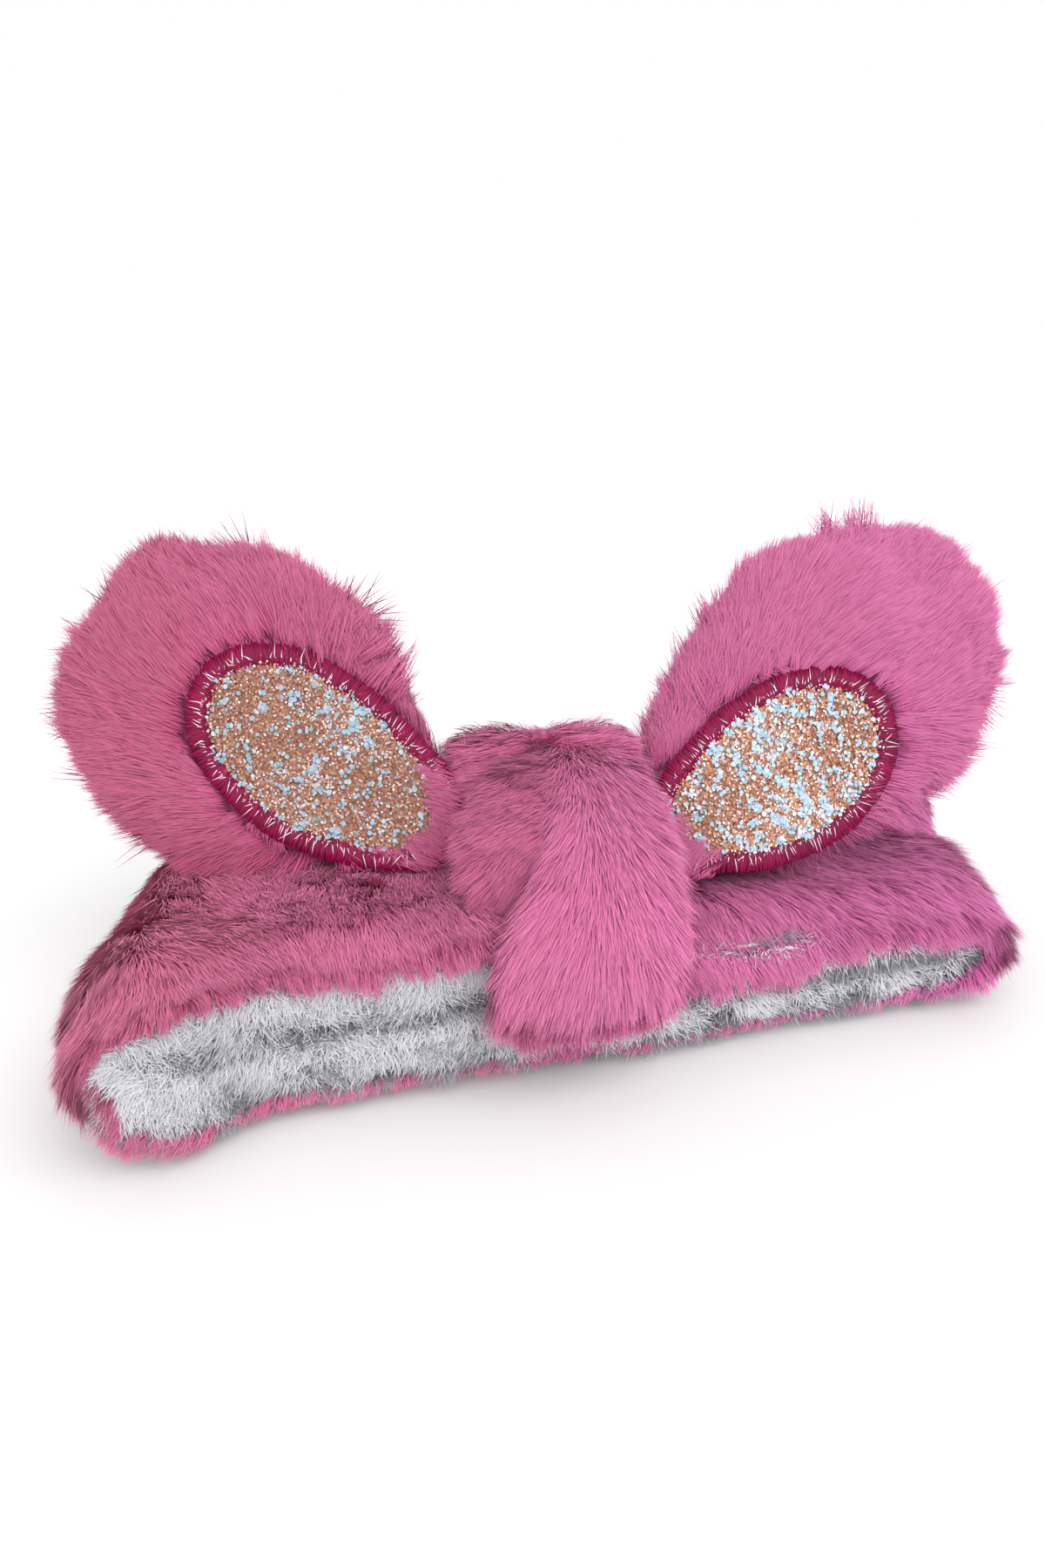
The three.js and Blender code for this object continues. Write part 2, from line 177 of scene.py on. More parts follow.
def pile_material(name, left, right, patch_size, swing, roughness, sheen):
    """Strands: painted shade, darker at the root where little light reaches, lighter at the tip, with a
    little of each strand's own tone and slow random drifts of painted light and shade for the way the pile
    lies.
    Painted light runs from a warmer, darker tone at the open fold to a cooler, lighter one at the tight."""
    material, shader = new_material(name, Roughness=roughness, Sheen_Weight=sheen,
                                    Sheen_Roughness=0.5, Specular_IOR_Level=0.2)
    strand = add_node(material, "ShaderNodeUVMap", uv_map="strand")
    parts = add_node(material, "ShaderNodeSeparateXYZ", {"Vector": strand.outputs["UV"]})
    place = add_node(material, "ShaderNodeTexCoord")
    where = add_node(material, "ShaderNodeSeparateXYZ", {"Vector": place.outputs["Object"]})
    # painted light: the open fold's ramp is warmer and darker, the tight fold's cooler and lighter, as the
    # light falls from the right
    side = add_node(material, "ShaderNodeMapRange", {"Value": where.outputs["X"]},
                    From_Min=-0.09, From_Max=0.09)
    along = add_node(material, "ShaderNodeMixRGB",
                     {"Fac": side.outputs["Result"],
                      "Color1": colour_ramp(material, parts.outputs["Y"], left),
                      "Color2": colour_ramp(material, parts.outputs["Y"], right)})
    # painted light and shade: slow random drifts of brightness that stand for the way the pile lies
    drift = add_node(material, "ShaderNodeTexNoise", {"Vector": place.outputs["Object"]},
                     Scale=1 / patch_size, Detail=2.0)
    own = add_node(material, "ShaderNodeMapRange", {"Value": parts.outputs["X"]},
                   To_Min=-0.4, To_Max=0.4)
    both = add_node(material, "ShaderNodeMath", {0: own.outputs["Result"],
                                                 1: drift.outputs["Fac"]}, operation="ADD")
    value = add_node(material, "ShaderNodeMapRange", {"Value": both.outputs["Value"]},
                     To_Min=1 - swing, To_Max=1 + swing)
    shade = add_node(material, "ShaderNodeHueSaturation",
                     {"Color": along.outputs["Color"], "Value": value.outputs["Result"]})
    material.node_tree.links.new(shade.outputs["Color"], shader.inputs["Base Color"])
    return material


def knit_material(name, dark, light, loop):
    """Knitted backing cloth: fine rows of loops, matt, drawn darker than its pile as painted shade in the
    pile's depth.
    """
    material, shader = new_material(name, Roughness=0.9, Sheen_Weight=0.2)
    place = add_node(material, "ShaderNodeTexCoord")
    rows = add_node(material, "ShaderNodeTexWave", {"Vector": place.outputs["Object"]},
                    Scale=1 / (loop * 6), Distortion=3.0, Detail=2.0)
    colour = colour_ramp(material, rows.outputs["Fac"], [(0.2, dark), (0.8, light)])
    material.node_tree.links.new(colour, shader.inputs["Base Color"])
    bump = add_node(material, "ShaderNodeBump", {"Height": rows.outputs["Fac"]},
                    Strength=0.5, Distance=loop * 0.3)
    material.node_tree.links.new(bump.outputs["Normal"], shader.inputs["Normal"])
    return material


def painted_material(name, attribute, **shader):
    """A material that takes each facet's own colour from an attribute."""
    material, principled = new_material(name, **shader)
    own = add_node(material, "ShaderNodeAttribute", attribute_name=attribute)
    material.node_tree.links.new(own.outputs["Color"], principled.inputs["Base Color"])
    return material


def make_materials(colours):
    """Every finish of the hair band, by the name of its piece."""

    def stops(name):
        return [(place, getattr(colours, f"{name}_{part}"))
                for place, part in ((0.0, "root"), (0.45, "mid"), (1.0, "tip"))]

    finishes = {
        # brushed polyester long pile: soft, with a bloom of light along the tips
        "pile": pile_material("polyester long pile, combed", stops("rose"), stops("pink"),
                              30 * MM, 0.10, 0.75, 0.15),
        "ear_pile": pile_material("polyester long pile, brushed", stops("ear"), stops("lilac"),
                                  26 * MM, 0.10, 0.75, 0.15),
        # dense sherpa pile: matt white, greyed in its depth by painted shade
        "white_pile": pile_material("sherpa lining pile", stops("white"), stops("white"),
                                    12 * MM, 0.04, 0.9, 0.1),
        # knitted backings at a 0.9 mm loop, drawn half as coarse again so that it shows, and dark as painted
        # shade under the pile
        "pink_knit": knit_material("plush backing knit", "#93395f", "#ad4f79", 1.3 * MM),
        "white_knit": knit_material("lining backing knit", "#b9b9bc", "#dcdde0", 1.3 * MM),
        "wadding": knit_material("loose polyester wadding", "#d5d2ca", "#efece6", 2.5 * MM),
        "elastic": knit_material("woven elastic", "#c9c4ba", "#e6e2da", 0.9 * MM),
        "backing": knit_material("non-woven backing", "#a9a6a0", "#c2bfb9", 1.6 * MM),
        # satin stitch in rayon thread: a deep magenta with a silky gloss
        "satin": painted_material("rayon satin thread", "shade", Roughness=0.4,
                                  Specular_IOR_Level=0.22),
        # cut film flakes on cloth: half mirror-like, so each one catches the light by itself
        "flake": painted_material("glitter film flakes", "shade", Roughness=0.3,
                                  Metallic=0.1, Specular_IOR_Level=0.55),
    }
    glue, shader = new_material("glitter ground cloth", Roughness=0.45)
    place = add_node(glue, "ShaderNodeTexCoord")
    grains = add_node(glue, "ShaderNodeTexVoronoi", {"Vector": place.outputs["Object"]},
                      Scale=1 / (1.0 * MM))
    tone = colour_ramp(glue, grains.outputs["Distance"], [(0.1, "#a8765a"), (0.6, "#8d6350")])
    glue.node_tree.links.new(tone, shader.inputs["Base Color"])
    finishes["glue"] = glue
    return finishes


FINISH = {}


# ---------------------------------------------------------------- strands


def strand_template():
    """One strand as two long facets, from its root to its widest place and on to its tip: its
    vertices as (side, along), and its faces."""
    bm = bmesh.new()
    bmesh.ops.create_circle(bm, cap_ends=True, segments=4, radius=1)
    widest = [v for v in bm.verts if abs(v.co.x) > 0.5]
    bmesh.ops.connect_vert_pair(bm, verts=widest)
    if bm.faces[:][0].normal.z < 0:
        bmesh.ops.reverse_faces(bm, faces=bm.faces)
    sides = np.array([(v.co.x, 0.45 * (v.co.y + 1) + max(v.co.y, 0) * 0.1) for v in bm.verts])
    faces = [[v.index for v in f.verts] for f in bm.faces]
    bm.free()
    return sides, faces


def tiled_mesh(name, points, faces, material):
    """Copies of one small shape as one mesh. points is (copies, vertices, 3)."""
    copies, per_copy = points.shape[:2]
    mesh = bpy.data.meshes.new(name)
    mesh.vertices.add(copies * per_copy)
    mesh.vertices.foreach_set("co", points.astype(np.float32).ravel())
    flat = np.array([i for f in faces for i in f])
    loops = (flat[None, :] + np.arange(copies)[:, None] * per_copy).ravel()
    mesh.loops.add(len(loops))
    mesh.loops.foreach_set("vertex_index", loops.astype(np.int32))
    sizes = np.array([len(f) for f in faces])
    starts = np.concatenate(([0], np.cumsum(sizes)[:-1]))
    all_starts = (starts[None, :] + np.arange(copies)[:, None] * len(flat)).ravel()
    mesh.polygons.add(len(all_starts))
    mesh.polygons.foreach_set("loop_start", all_starts.astype(np.int32))
    mesh.update(calc_edges=True)
    mesh.materials.append(material)
    piece = bpy.data.objects.new(name, mesh)
    bpy.context.scene.collection.objects.link(piece)
    return piece, loops


def tuft_pull(roots, ends, width, strength, rng):
    """How far each strand's end is drawn to the end of the middle strand of its tuft."""
    area = len(np.unique(np.floor(roots / (3 * MM)).astype(int), axis=0)) * (3 * MM) ** 2 * 0.75
    tufts = max(2, min(len(roots), int(area / width ** 2)))
    middles = rng.choice(len(roots), tufts, replace=False)
    tree = kdtree.KDTree(tufts)
    for k, i in enumerate(middles):
        tree.insert(roots[i], k)
    tree.balance()
    near = np.array([tree.find(p)[1] for p in roots])
    pull = (ends[middles[near]] - ends) * strength
    far = np.linalg.norm(pull, axis=1, keepdims=True)
    return pull * np.minimum(1, width / np.maximum(far, 1e-9))


def grow(name, roots, normals, lay, material, seed, length, width, root_lift=48, tip_lift=10,
         tufts=((2.0, 0.5), (6.0, 0.25)), wander=0.22, curl=0.0, own_light=0.35,
         floor=0.3 * MM):
    """Strands of pile on a skin. lay is the way that they are combed, length a number or one
    for each strand, the lifts are degrees above the skin at the root and at the tip, and tufts
    are (width in mm, how strongly the tips draw together)."""
    rng = np.random.default_rng(seed)
    count = len(roots)
    lay = lay + rng.normal(size=(count, 3)) * wander
    lay = unit(lay - normals * np.sum(lay * normals, axis=1, keepdims=True))
    lengths = np.broadcast_to(length, count) * (1 + 0.18 * rng.normal(size=count)).clip(0.5, 1.4)
    up_root = np.radians(root_lift + 9 * rng.normal(size=count))[:, None]
    up_tip = np.radians(tip_lift + 9 * rng.normal(size=count))[:, None]
    at_root = normals * np.sin(up_root) + lay * np.cos(up_root)
    at_tip = unit(normals * np.sin(up_tip) + lay * np.cos(up_tip))
    sides, faces = strand_template()
    along = sides[:, 1]
    bend = at_root[:, None] * along[None, :, None] \
        + (at_tip - at_root)[:, None] * (along ** 2 / 2)[None, :, None]
    line = lengths[:, None, None] * bend
    ends = roots + lengths[:, None] * (at_root + at_tip) / 2
    for tuft_width, strength in tufts:
        pull = tuft_pull(roots, ends, tuft_width * MM, strength, rng)
        line = line + pull[:, None] * (along ** 2)[None, :, None]
        ends = ends + pull
    if curl:
        turn = rng.uniform(0, 2 * math.pi, count)
        swing = np.sin(turn[:, None] + along[None, :] * 5.0) - np.sin(turn)[:, None]
        across = np.cross(normals, lay)
        line = line + across[:, None] * (swing * curl)[:, :, None]
    roll = rng.normal(size=count)[:, None] * 0.2
    side = unit(np.cross(at_tip, normals) + 1e-9)
    over = np.cross(side, at_tip)
    facing = over * np.cos(roll) - side * np.sin(roll)
    side = side * np.cos(roll) + over * np.sin(roll)
    points = roots[:, None] + line + side[:, None] * (sides[:, 0] * width / 2)[None, :, None]
    if floor is not None:
        points[:, :, 2] = np.maximum(points[:, :, 2], floor)
    piece, loops = tiled_mesh(name, points, faces, material)
    # pile is lit as one soft surface, so its strands mostly take the light of the skin
    soft = unit(normals + own_light * facing + 0.08 * rng.normal(size=(count, 3)))
    piece.data.normals_split_custom_set_from_vertices(np.repeat(soft, len(along), axis=0))
    uv = np.empty((count, len(along), 2), np.float32)
    uv[:, :, 0] = rng.random(count)[:, None]
    uv[:, :, 1] = along[None, :]
    layer = piece.data.uv_layers.new(name="strand")
    layer.data.foreach_set("uv", uv.reshape(-1, 2)[loops].ravel())
    return piece


def skin_samples(piece, count, weight, seed):
    """Points spread over a skin, with its normals there. weight(points, normals) says how
    thickly each place is covered, and 0 leaves it bare."""
    rng = np.random.default_rng(seed)
    mesh = piece.data
    mesh.calc_loop_triangles()
    corners = np.zeros(len(mesh.loop_triangles) * 3, np.int32)
    mesh.loop_triangles.foreach_get("vertices", corners)
    corners = corners.reshape(-1, 3)
    co = np.zeros(len(mesh.vertices) * 3, np.float32)
    mesh.vertices.foreach_get("co", co)
    co = co.reshape(-1, 3).astype(float)
    no = np.zeros(len(mesh.vertices) * 3, np.float32)
    mesh.vertex_normals.foreach_get("vector", no)
    no = no.reshape(-1, 3).astype(float)
    a, b, c = (co[corners[:, k]] for k in range(3))
    area = np.linalg.norm(np.cross(b - a, c - a), axis=1) / 2
    middle = (a + b + c) / 3
    face_normal = unit(no[corners].mean(axis=1))
    share = area * np.maximum(weight(middle, face_normal), 0)
    picked = rng.choice(len(area), count, p=share / share.sum())
    u, v = rng.random(count), rng.random(count)
    flip = u + v > 1
    u[flip], v[flip] = 1 - u[flip], 1 - v[flip]
    blend = np.stack([1 - u - v, u, v], axis=1)
    points = np.einsum("ij,ijk->ik", blend, co[corners[picked]])
    normals = unit(np.einsum("ij,ijk->ik", blend, no[corners[picked]]))
    return points, normals


# ---------------------------------------------------------------- the loop, from the frame

PILE_DEPTH = 5.0 * MM             # from the cloth to the brushed surface of the pink pile
PATCH_RUN_IN = 1.20               # how far the patches run in under the pile of the wrap
SAG = {"left": (8.5, 1.5), "right": (8.5, 3.5)}     # mm that an ear sags, at its root and tip


class Loop:
    """The flattened loop's measures, read from the frame."""

    def __init__(self):
        strip = node_points("band_elastic")
        far, near = strip[:, 1] > 0, strip[:, 1] < 0
        gap = strip[far, 1].mean() - strip[near, 1].mean()
        self.skew = (strip[far, 0].mean() - strip[near, 0].mean()) / gap
        straight = self.straight(strip)
        self.left_span, self.right_span = straight.min(), straight.max()
        low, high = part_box("band_outer_front")
        self.near, self.far = low.y, high.y
        self.ends, self.tops, self.lining = {}, {}, {}
        for side, pick in (("left", min), ("right", max)):
            fold = node_points(f"band_outer_{side}_fold")
            self.ends[side] = pick(self.straight(fold))
            self.tops[side] = fold[:, 2].max()
            white = node_points(f"band_lining_{side}_fold")
            self.lining[side] = (white[:, 2].min(), white[:, 2].max(), pick(self.straight(white)))
        self.flare = self.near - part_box("band_outer_left_fold")[0].y
        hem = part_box("wrap_outer")
        self.ramp = (hem[1].x - hem[0].x) / 2
        self.slit = {"left": self.inner("left"), "right": self.inner("right")}

    def straight(self, points):
        """X with the loop's lean taken out."""
        return points[:, 0] - self.skew * points[:, 1]

    def slant(self, points):
        """The open fold is squeezed towards the crown edge, where it reaches out less."""
        squeezed = 1 - 0.55 * smooth((points[:, 1] + 25 * MM) / (65 * MM))
        past = np.minimum(points[:, 0] - self.left_span, 0)
        points[:, 0] -= past * (1 - squeezed)
        return points

    def inner(self, side):
        """The two faces of the slit at one side of the wrap."""
        back, front = node_points("band_lining_back"), node_points("band_lining_front")
        end = self.left_span if side == "left" else self.right_span
        b = back[np.abs(self.straight(back) - end) < 1 * MM]
        f = front[np.abs(self.straight(front) - end) < 1 * MM]
        return b[:, 2].max(), f[:, 2].min()

    def level(self, x, left, right):
        """A height that runs smoothly from one side of the wrap to the other under it."""
        return left + (right - left) * smooth(x / (2 * self.ramp) + 0.5)

    def path(self, low, high, left_end, right_end, step=2.5 * MM):
        """A closed way round the loop in X and Z: along the bottom, round the right fold, back
        over the top and round the left fold. low and high are (left, right) heights."""
        spans = np.linspace(self.left_span, self.right_span,
                            int((self.right_span - self.left_span) / step))
        under = np.stack([spans, self.level(spans, *low)], axis=1)
        over = np.stack([spans, self.level(spans, *high)], axis=1)[::-1]
        turns = []
        for k, (start, end) in enumerate(((self.right_span, right_end),
                                          (self.left_span, left_end))):
            side = 1 - k
            bottom, top = low[side], high[side]
            count = int((abs(end - start) * 2 + top - bottom) / step)
            angle = np.linspace(-math.pi / 2, math.pi / 2, count + 2)[1:-1]
            x = start + (end - start) * np.cos(angle)
            z = (bottom + top) / 2 + (top - bottom) / 2 * np.sin(angle)
            turns.append(np.stack([x, z], axis=1))
        return np.concatenate([under, turns[0], over, turns[1][::-1]])


def stadium(near, far, half, flats, rounds):
    """The closed section of a flat strip with round edges: places across, and out of its face."""
    across = np.linspace(near + half, far - half, flats)
    turn = np.linspace(-math.pi / 2, math.pi / 2, rounds + 2)[1:-1]
    y = np.concatenate([across, far - half + half * np.cos(turn[::-1]), across[::-1],
                        near + half - half * np.cos(turn)])
    out = np.concatenate([np.full(flats, half), half * np.sin(turn[::-1]),
                          np.full(flats, -half), half * np.sin(turn)])
    return y, out


def swept_loop(name, loop, path, half, near, far, material, shape, roll_in=0.0, full=(0.0, 0.0),
               flats=30, rounds=5):
    """A strip of cloth swept round the loop. Its edges may roll in towards the lining, or be
    fuller than the rest, by one amount at the left and another at the right. shape(points)
    moves its points."""
    y, out = stadium(near, far, half, flats, rounds)
    rim = smooth((np.maximum(near + 14 * MM - y, y - far + 14 * MM)) / (13 * MM))
    stations, sections = len(path), len(y)
    ahead, behind = np.roll(path, -1, axis=0), np.roll(path, 1, axis=0)
    tangent = unit(ahead - behind)
    outward = np.stack([tangent[:, 1], -tangent[:, 0]], axis=1)
    bm = bmesh.new()
    bmesh.ops.create_grid(bm, x_segments=stations, y_segments=sections, size=0.5)
    grid = vert_array(bm)
    i = np.rint((grid[:, 0] + 0.5) * stations).astype(int) % stations
    j = np.rint((grid[:, 1] + 0.5) * sections).astype(int) % sections
    at_right = smooth((path[:, 0] - path[:, 0].min()) / np.ptp(path[:, 0]))
    fuller = (full[0] + (full[1] - full[0]) * at_right)[i] * rim[j] / half
    offset = out[j] * (1 + fuller) - roll_in * rim[j]
    points = np.empty_like(grid)
    points[:, 0] = path[i, 0] + outward[i, 0] * offset
    points[:, 2] = path[i, 1] + outward[i, 1] * offset
    points[:, 1] = y[j]
    points = shape(loop.slant(points))
    points[:, 0] += loop.skew * points[:, 1]
    move_verts(bm, points)
    return piece_from(bm, name, material)


def crosses_slit(piece):
    """Bakes the piece's placing into its mesh; the piece lies across the slit, between the loop's two halves.
    """
    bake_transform(piece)
    return piece


# ---------------------------------------------------------------- the ears, from the frame


class Ear:
    """An ear's axes and measures, read from the frame: along its length, across it (upwards)
    and out of its face, from the middle of its root."""

    def __init__(self, side):
        self.side = side
        joint = next(j for j in frame["joints"] if j["name"] == f"{side}_ear_flop")
        self.root = np.array(joint["pos_m"], float)
        across = unit(np.array(joint["axis"], float))
        self.along = unit(node_points(f"{side}_ear_filling").mean(axis=0) - self.root)
        across = unit(across - self.along * (across @ self.along))
        self.across = across if across @ UP > 0 else -across
        self.face = np.cross(self.along, self.across)
        root, tip = SAG[side]
        self.sag = (root * MM, tip * MM)
        patch = node_points(f"{side}_ear_glitter_patch")
        self.hand = 1 if (patch.mean(axis=0) - self.root) @ self.face > 0 else -1
        self.face = self.face * self.hand
        shell = np.concatenate([self.straight(node_points(f"{side}_ear_front_panel")),
                                self.straight(node_points(f"{side}_ear_back_panel"))])
        self.low, self.high = shell.min(axis=0), shell.max(axis=0)
        self.patch = self.straight(patch)
        self.patch_top = self.patch[:, 2].max()
        self.border = self.straight(node_points(f"{side}_ear_satin_border"))
        tip = self.patch[:, 0].max()
        for flat in (self.patch, self.border):
            flat[:, 0] = tip - (tip - flat[:, 0]) * PATCH_RUN_IN
        self.middle = (self.patch[:, :2].min(axis=0) + self.patch[:, :2].max(axis=0)) / 2
        self.patch_edge = self.outline(self.patch)
        self.border_edge = self.outline(self.border)

    def straight(self, points):
        """Places on the frame's ear, which stands straight."""
        return (points - self.root) @ np.stack([self.along, self.across, self.face], axis=1)

    def droop(self, along):
        """How far the soft ear has sagged towards the band, at places along it."""
        t = smooth((along - self.low[0]) / (self.high[0] - self.low[0]))
        return self.sag[0] + (self.sag[1] - self.sag[0]) * t

    def local(self, points):
        places = self.straight(points)
        places[:, 1] += self.droop(places[:, 0])
        return places

    def world(self, points):
        places = points.copy()
        places[:, 1] -= self.droop(points[:, 0])
        return self.root + places @ np.stack([self.along, self.across, self.face])

    def polar(self, points):
        """Angle and distance from the patch's middle."""
        gap = points[:, :2] - self.middle
        return np.arctan2(gap[:, 1], gap[:, 0]), np.hypot(gap[:, 0], gap[:, 1])

    def outline(self, points):
        """The outer edge of a flat piece, as its distance from the patch's middle by angle."""
        angle, reach = self.polar(points)
        bins = np.linspace(-math.pi, math.pi, 61)
        which = np.clip(np.digitize(angle, bins) - 1, 0, 59)
        best = np.array([reach[which == k].max() if np.any(which == k) else np.nan
                         for k in range(60)])
        centres = (bins[:-1] + bins[1:]) / 2
        known = ~np.isnan(best)
        filled = np.interp(centres, centres[known], best[known], period=2 * math.pi)
        kernel = np.array([0.25, 0.5, 0.25])
        wrapped = np.concatenate([filled[-1:], filled, filled[:1]])
        return centres, np.convolve(wrapped, kernel, "valid")

    def edge(self, angle, which):
        centres, reach = self.patch_edge if which == "patch" else self.border_edge
        return np.interp(angle, centres, reach, period=2 * math.pi)




def ear_skin_point(ear, ball):
    """A place on a unit ball, taken to the ear's cloth: a petal with a blunt tip, full in the
    middle and drawn in at its root."""
    low, high = ear.low, ear.high
    start = low[0] + PILE_DEPTH
    end = high[0] + (1 * MM if ear.side == "right" else -10 * MM)
    t = (ball[:, 0] + 1) / 2
    girth = np.sqrt(np.clip(1 - ball[:, 0] ** 2, 0, 1))
    round_it = np.maximum(np.hypot(ball[:, 1], ball[:, 2]), 1e-9)
    cos, sin = ball[:, 1] / round_it, ball[:, 2] / round_it
    half = (high[1] - low[1]) / 2 - PILE_DEPTH + (3.5 * MM if ear.side == "left" else 2 * MM)
    width = half * girth ** 0.7 * (0.62 + 0.38 * smooth(t / 0.55))
    depth = ((high[2] - low[2]) / 2 - PILE_DEPTH) * girth ** 0.5
    out = np.empty_like(ball)
    out[:, 0] = start + (end - start) * t
    out[:, 1] = (low[1] + high[1]) / 2 + width * cos
    out[:, 2] = depth * np.sign(sin) * np.abs(sin) ** 0.8
    return out


# ---------------------------------------------------------------- settings


class HairBandColours(bpy.types.PropertyGroup):
    """The colours of the yarns, with painted light: the open fold's tones warmer and darker than the tight
    fold's.
    """

    rose_root: bpy.props.StringProperty(name="Rose pile root",
                                            description="Rose pile, at the open fold: root of its strands",
                                            default="#a5456c")
    rose_mid: bpy.props.StringProperty(name="Rose pile middle",
                                            description="Rose pile, at the open fold: middle of its strands",
                                            default="#c86388")
    rose_tip: bpy.props.StringProperty(name="Rose pile tip",
                                            description="Rose pile, at the open fold: tip of its strands",
                                            default="#da7fa3")
    ear_root: bpy.props.StringProperty(name="Ear pile root",
                                            description="Ear pile: root of its strands",
                                            default="#8c3657")
    ear_mid: bpy.props.StringProperty(name="Ear pile middle",
                                            description="Ear pile: middle of its strands",
                                            default="#b04b6f")
    ear_tip: bpy.props.StringProperty(name="Ear pile tip",
                                            description="Ear pile: tip of its strands",
                                            default="#c46a8b")
    pink_root: bpy.props.StringProperty(name="Pink pile root",
                                            description="Pink pile, at the tight fold: root of its strands",
                                            default="#a2427b")
    pink_mid: bpy.props.StringProperty(name="Pink pile middle",
                                            description="Pink pile, at the tight fold: middle of its strands",
                                            default="#c962a0")
    pink_tip: bpy.props.StringProperty(name="Pink pile tip",
                                            description="Pink pile, at the tight fold: tip of its strands",
                                            default="#da80b4")
    lilac_root: bpy.props.StringProperty(name="Lilac pile root",
                                            description="Ear pile, at the tight fold: root of its strands",
                                            default="#96406c")
    lilac_mid: bpy.props.StringProperty(name="Lilac pile middle",
                                            description="Ear pile, at the tight fold: middle of its strands",
                                            default="#bb588b")
    lilac_tip: bpy.props.StringProperty(name="Lilac pile tip",
                                            description="Ear pile, at the tight fold: tip of its strands",
                                            default="#d077a4")
    white_root: bpy.props.StringProperty(name="Lining pile root",
                                            description="Lining pile: root of its strands",
                                            default="#d2d0d6")
    white_mid: bpy.props.StringProperty(name="Lining pile middle",
                                            description="Lining pile: middle of its strands",
                                            default="#dcdbe0")
    white_tip: bpy.props.StringProperty(name="Lining pile tip",
                                            description="Lining pile: tip of its strands",
                                            default="#e2e2e7")
    satin: bpy.props.StringProperty(name="Satin thread", description="Border of the patches",
                                    default="#7b023a")


class HairBandPile(bpy.types.PropertyGroup):
    """Lengths and fullness of the piles."""

    long_pile: bpy.props.FloatProperty(name="Long pile", description="Length of the pink pile",
                                       default=11 * MM, subtype="DISTANCE", unit="LENGTH")
    lining_pile: bpy.props.FloatProperty(name="Lining pile", description="Length of the lining",
                                         default=6 * MM, subtype="DISTANCE", unit="LENGTH")
    strand: bpy.props.FloatProperty(name="Strand width", description="Width of a lock of fibres",
                                    default=0.30 * MM, subtype="DISTANCE", unit="LENGTH")
    fullness: bpy.props.FloatProperty(name="Fullness", description="Share of the full pile",
                                      default=1.0, min=0.05, max=1.0, subtype="FACTOR")


def settings():
    return bpy.context.scene.hair_band_colours, bpy.context.scene.hair_band_pile


def amount(strands):
    share = settings()[1].fullness * 1.0
    return int(strands * share)


# ---------------------------------------------------------------- the band


def band_lay(points):
    """The way that the pink pile of the band is combed: over the face edge at the front, over
    the crown edge behind, and outwards at the folds, with swirls."""
    turn = ripple(points, 80 * MM, 11) * 0.6
    ends = smooth((np.abs(points[:, 0]) - 75 * MM) / (40 * MM)) * np.sign(points[:, 0])
    behind = smooth((points[:, 1] - 32 * MM) / (6 * MM))
    parting = 4 * behind * (1 - behind) * np.sign(points[:, 0])
    forward = -1 + 1.9 * behind
    lay = np.stack([np.sin(turn) + 0.7 * ends + parting, forward * np.cos(turn * 0.6),
                    -0.55 * np.ones(len(points))], axis=1)
    return lay


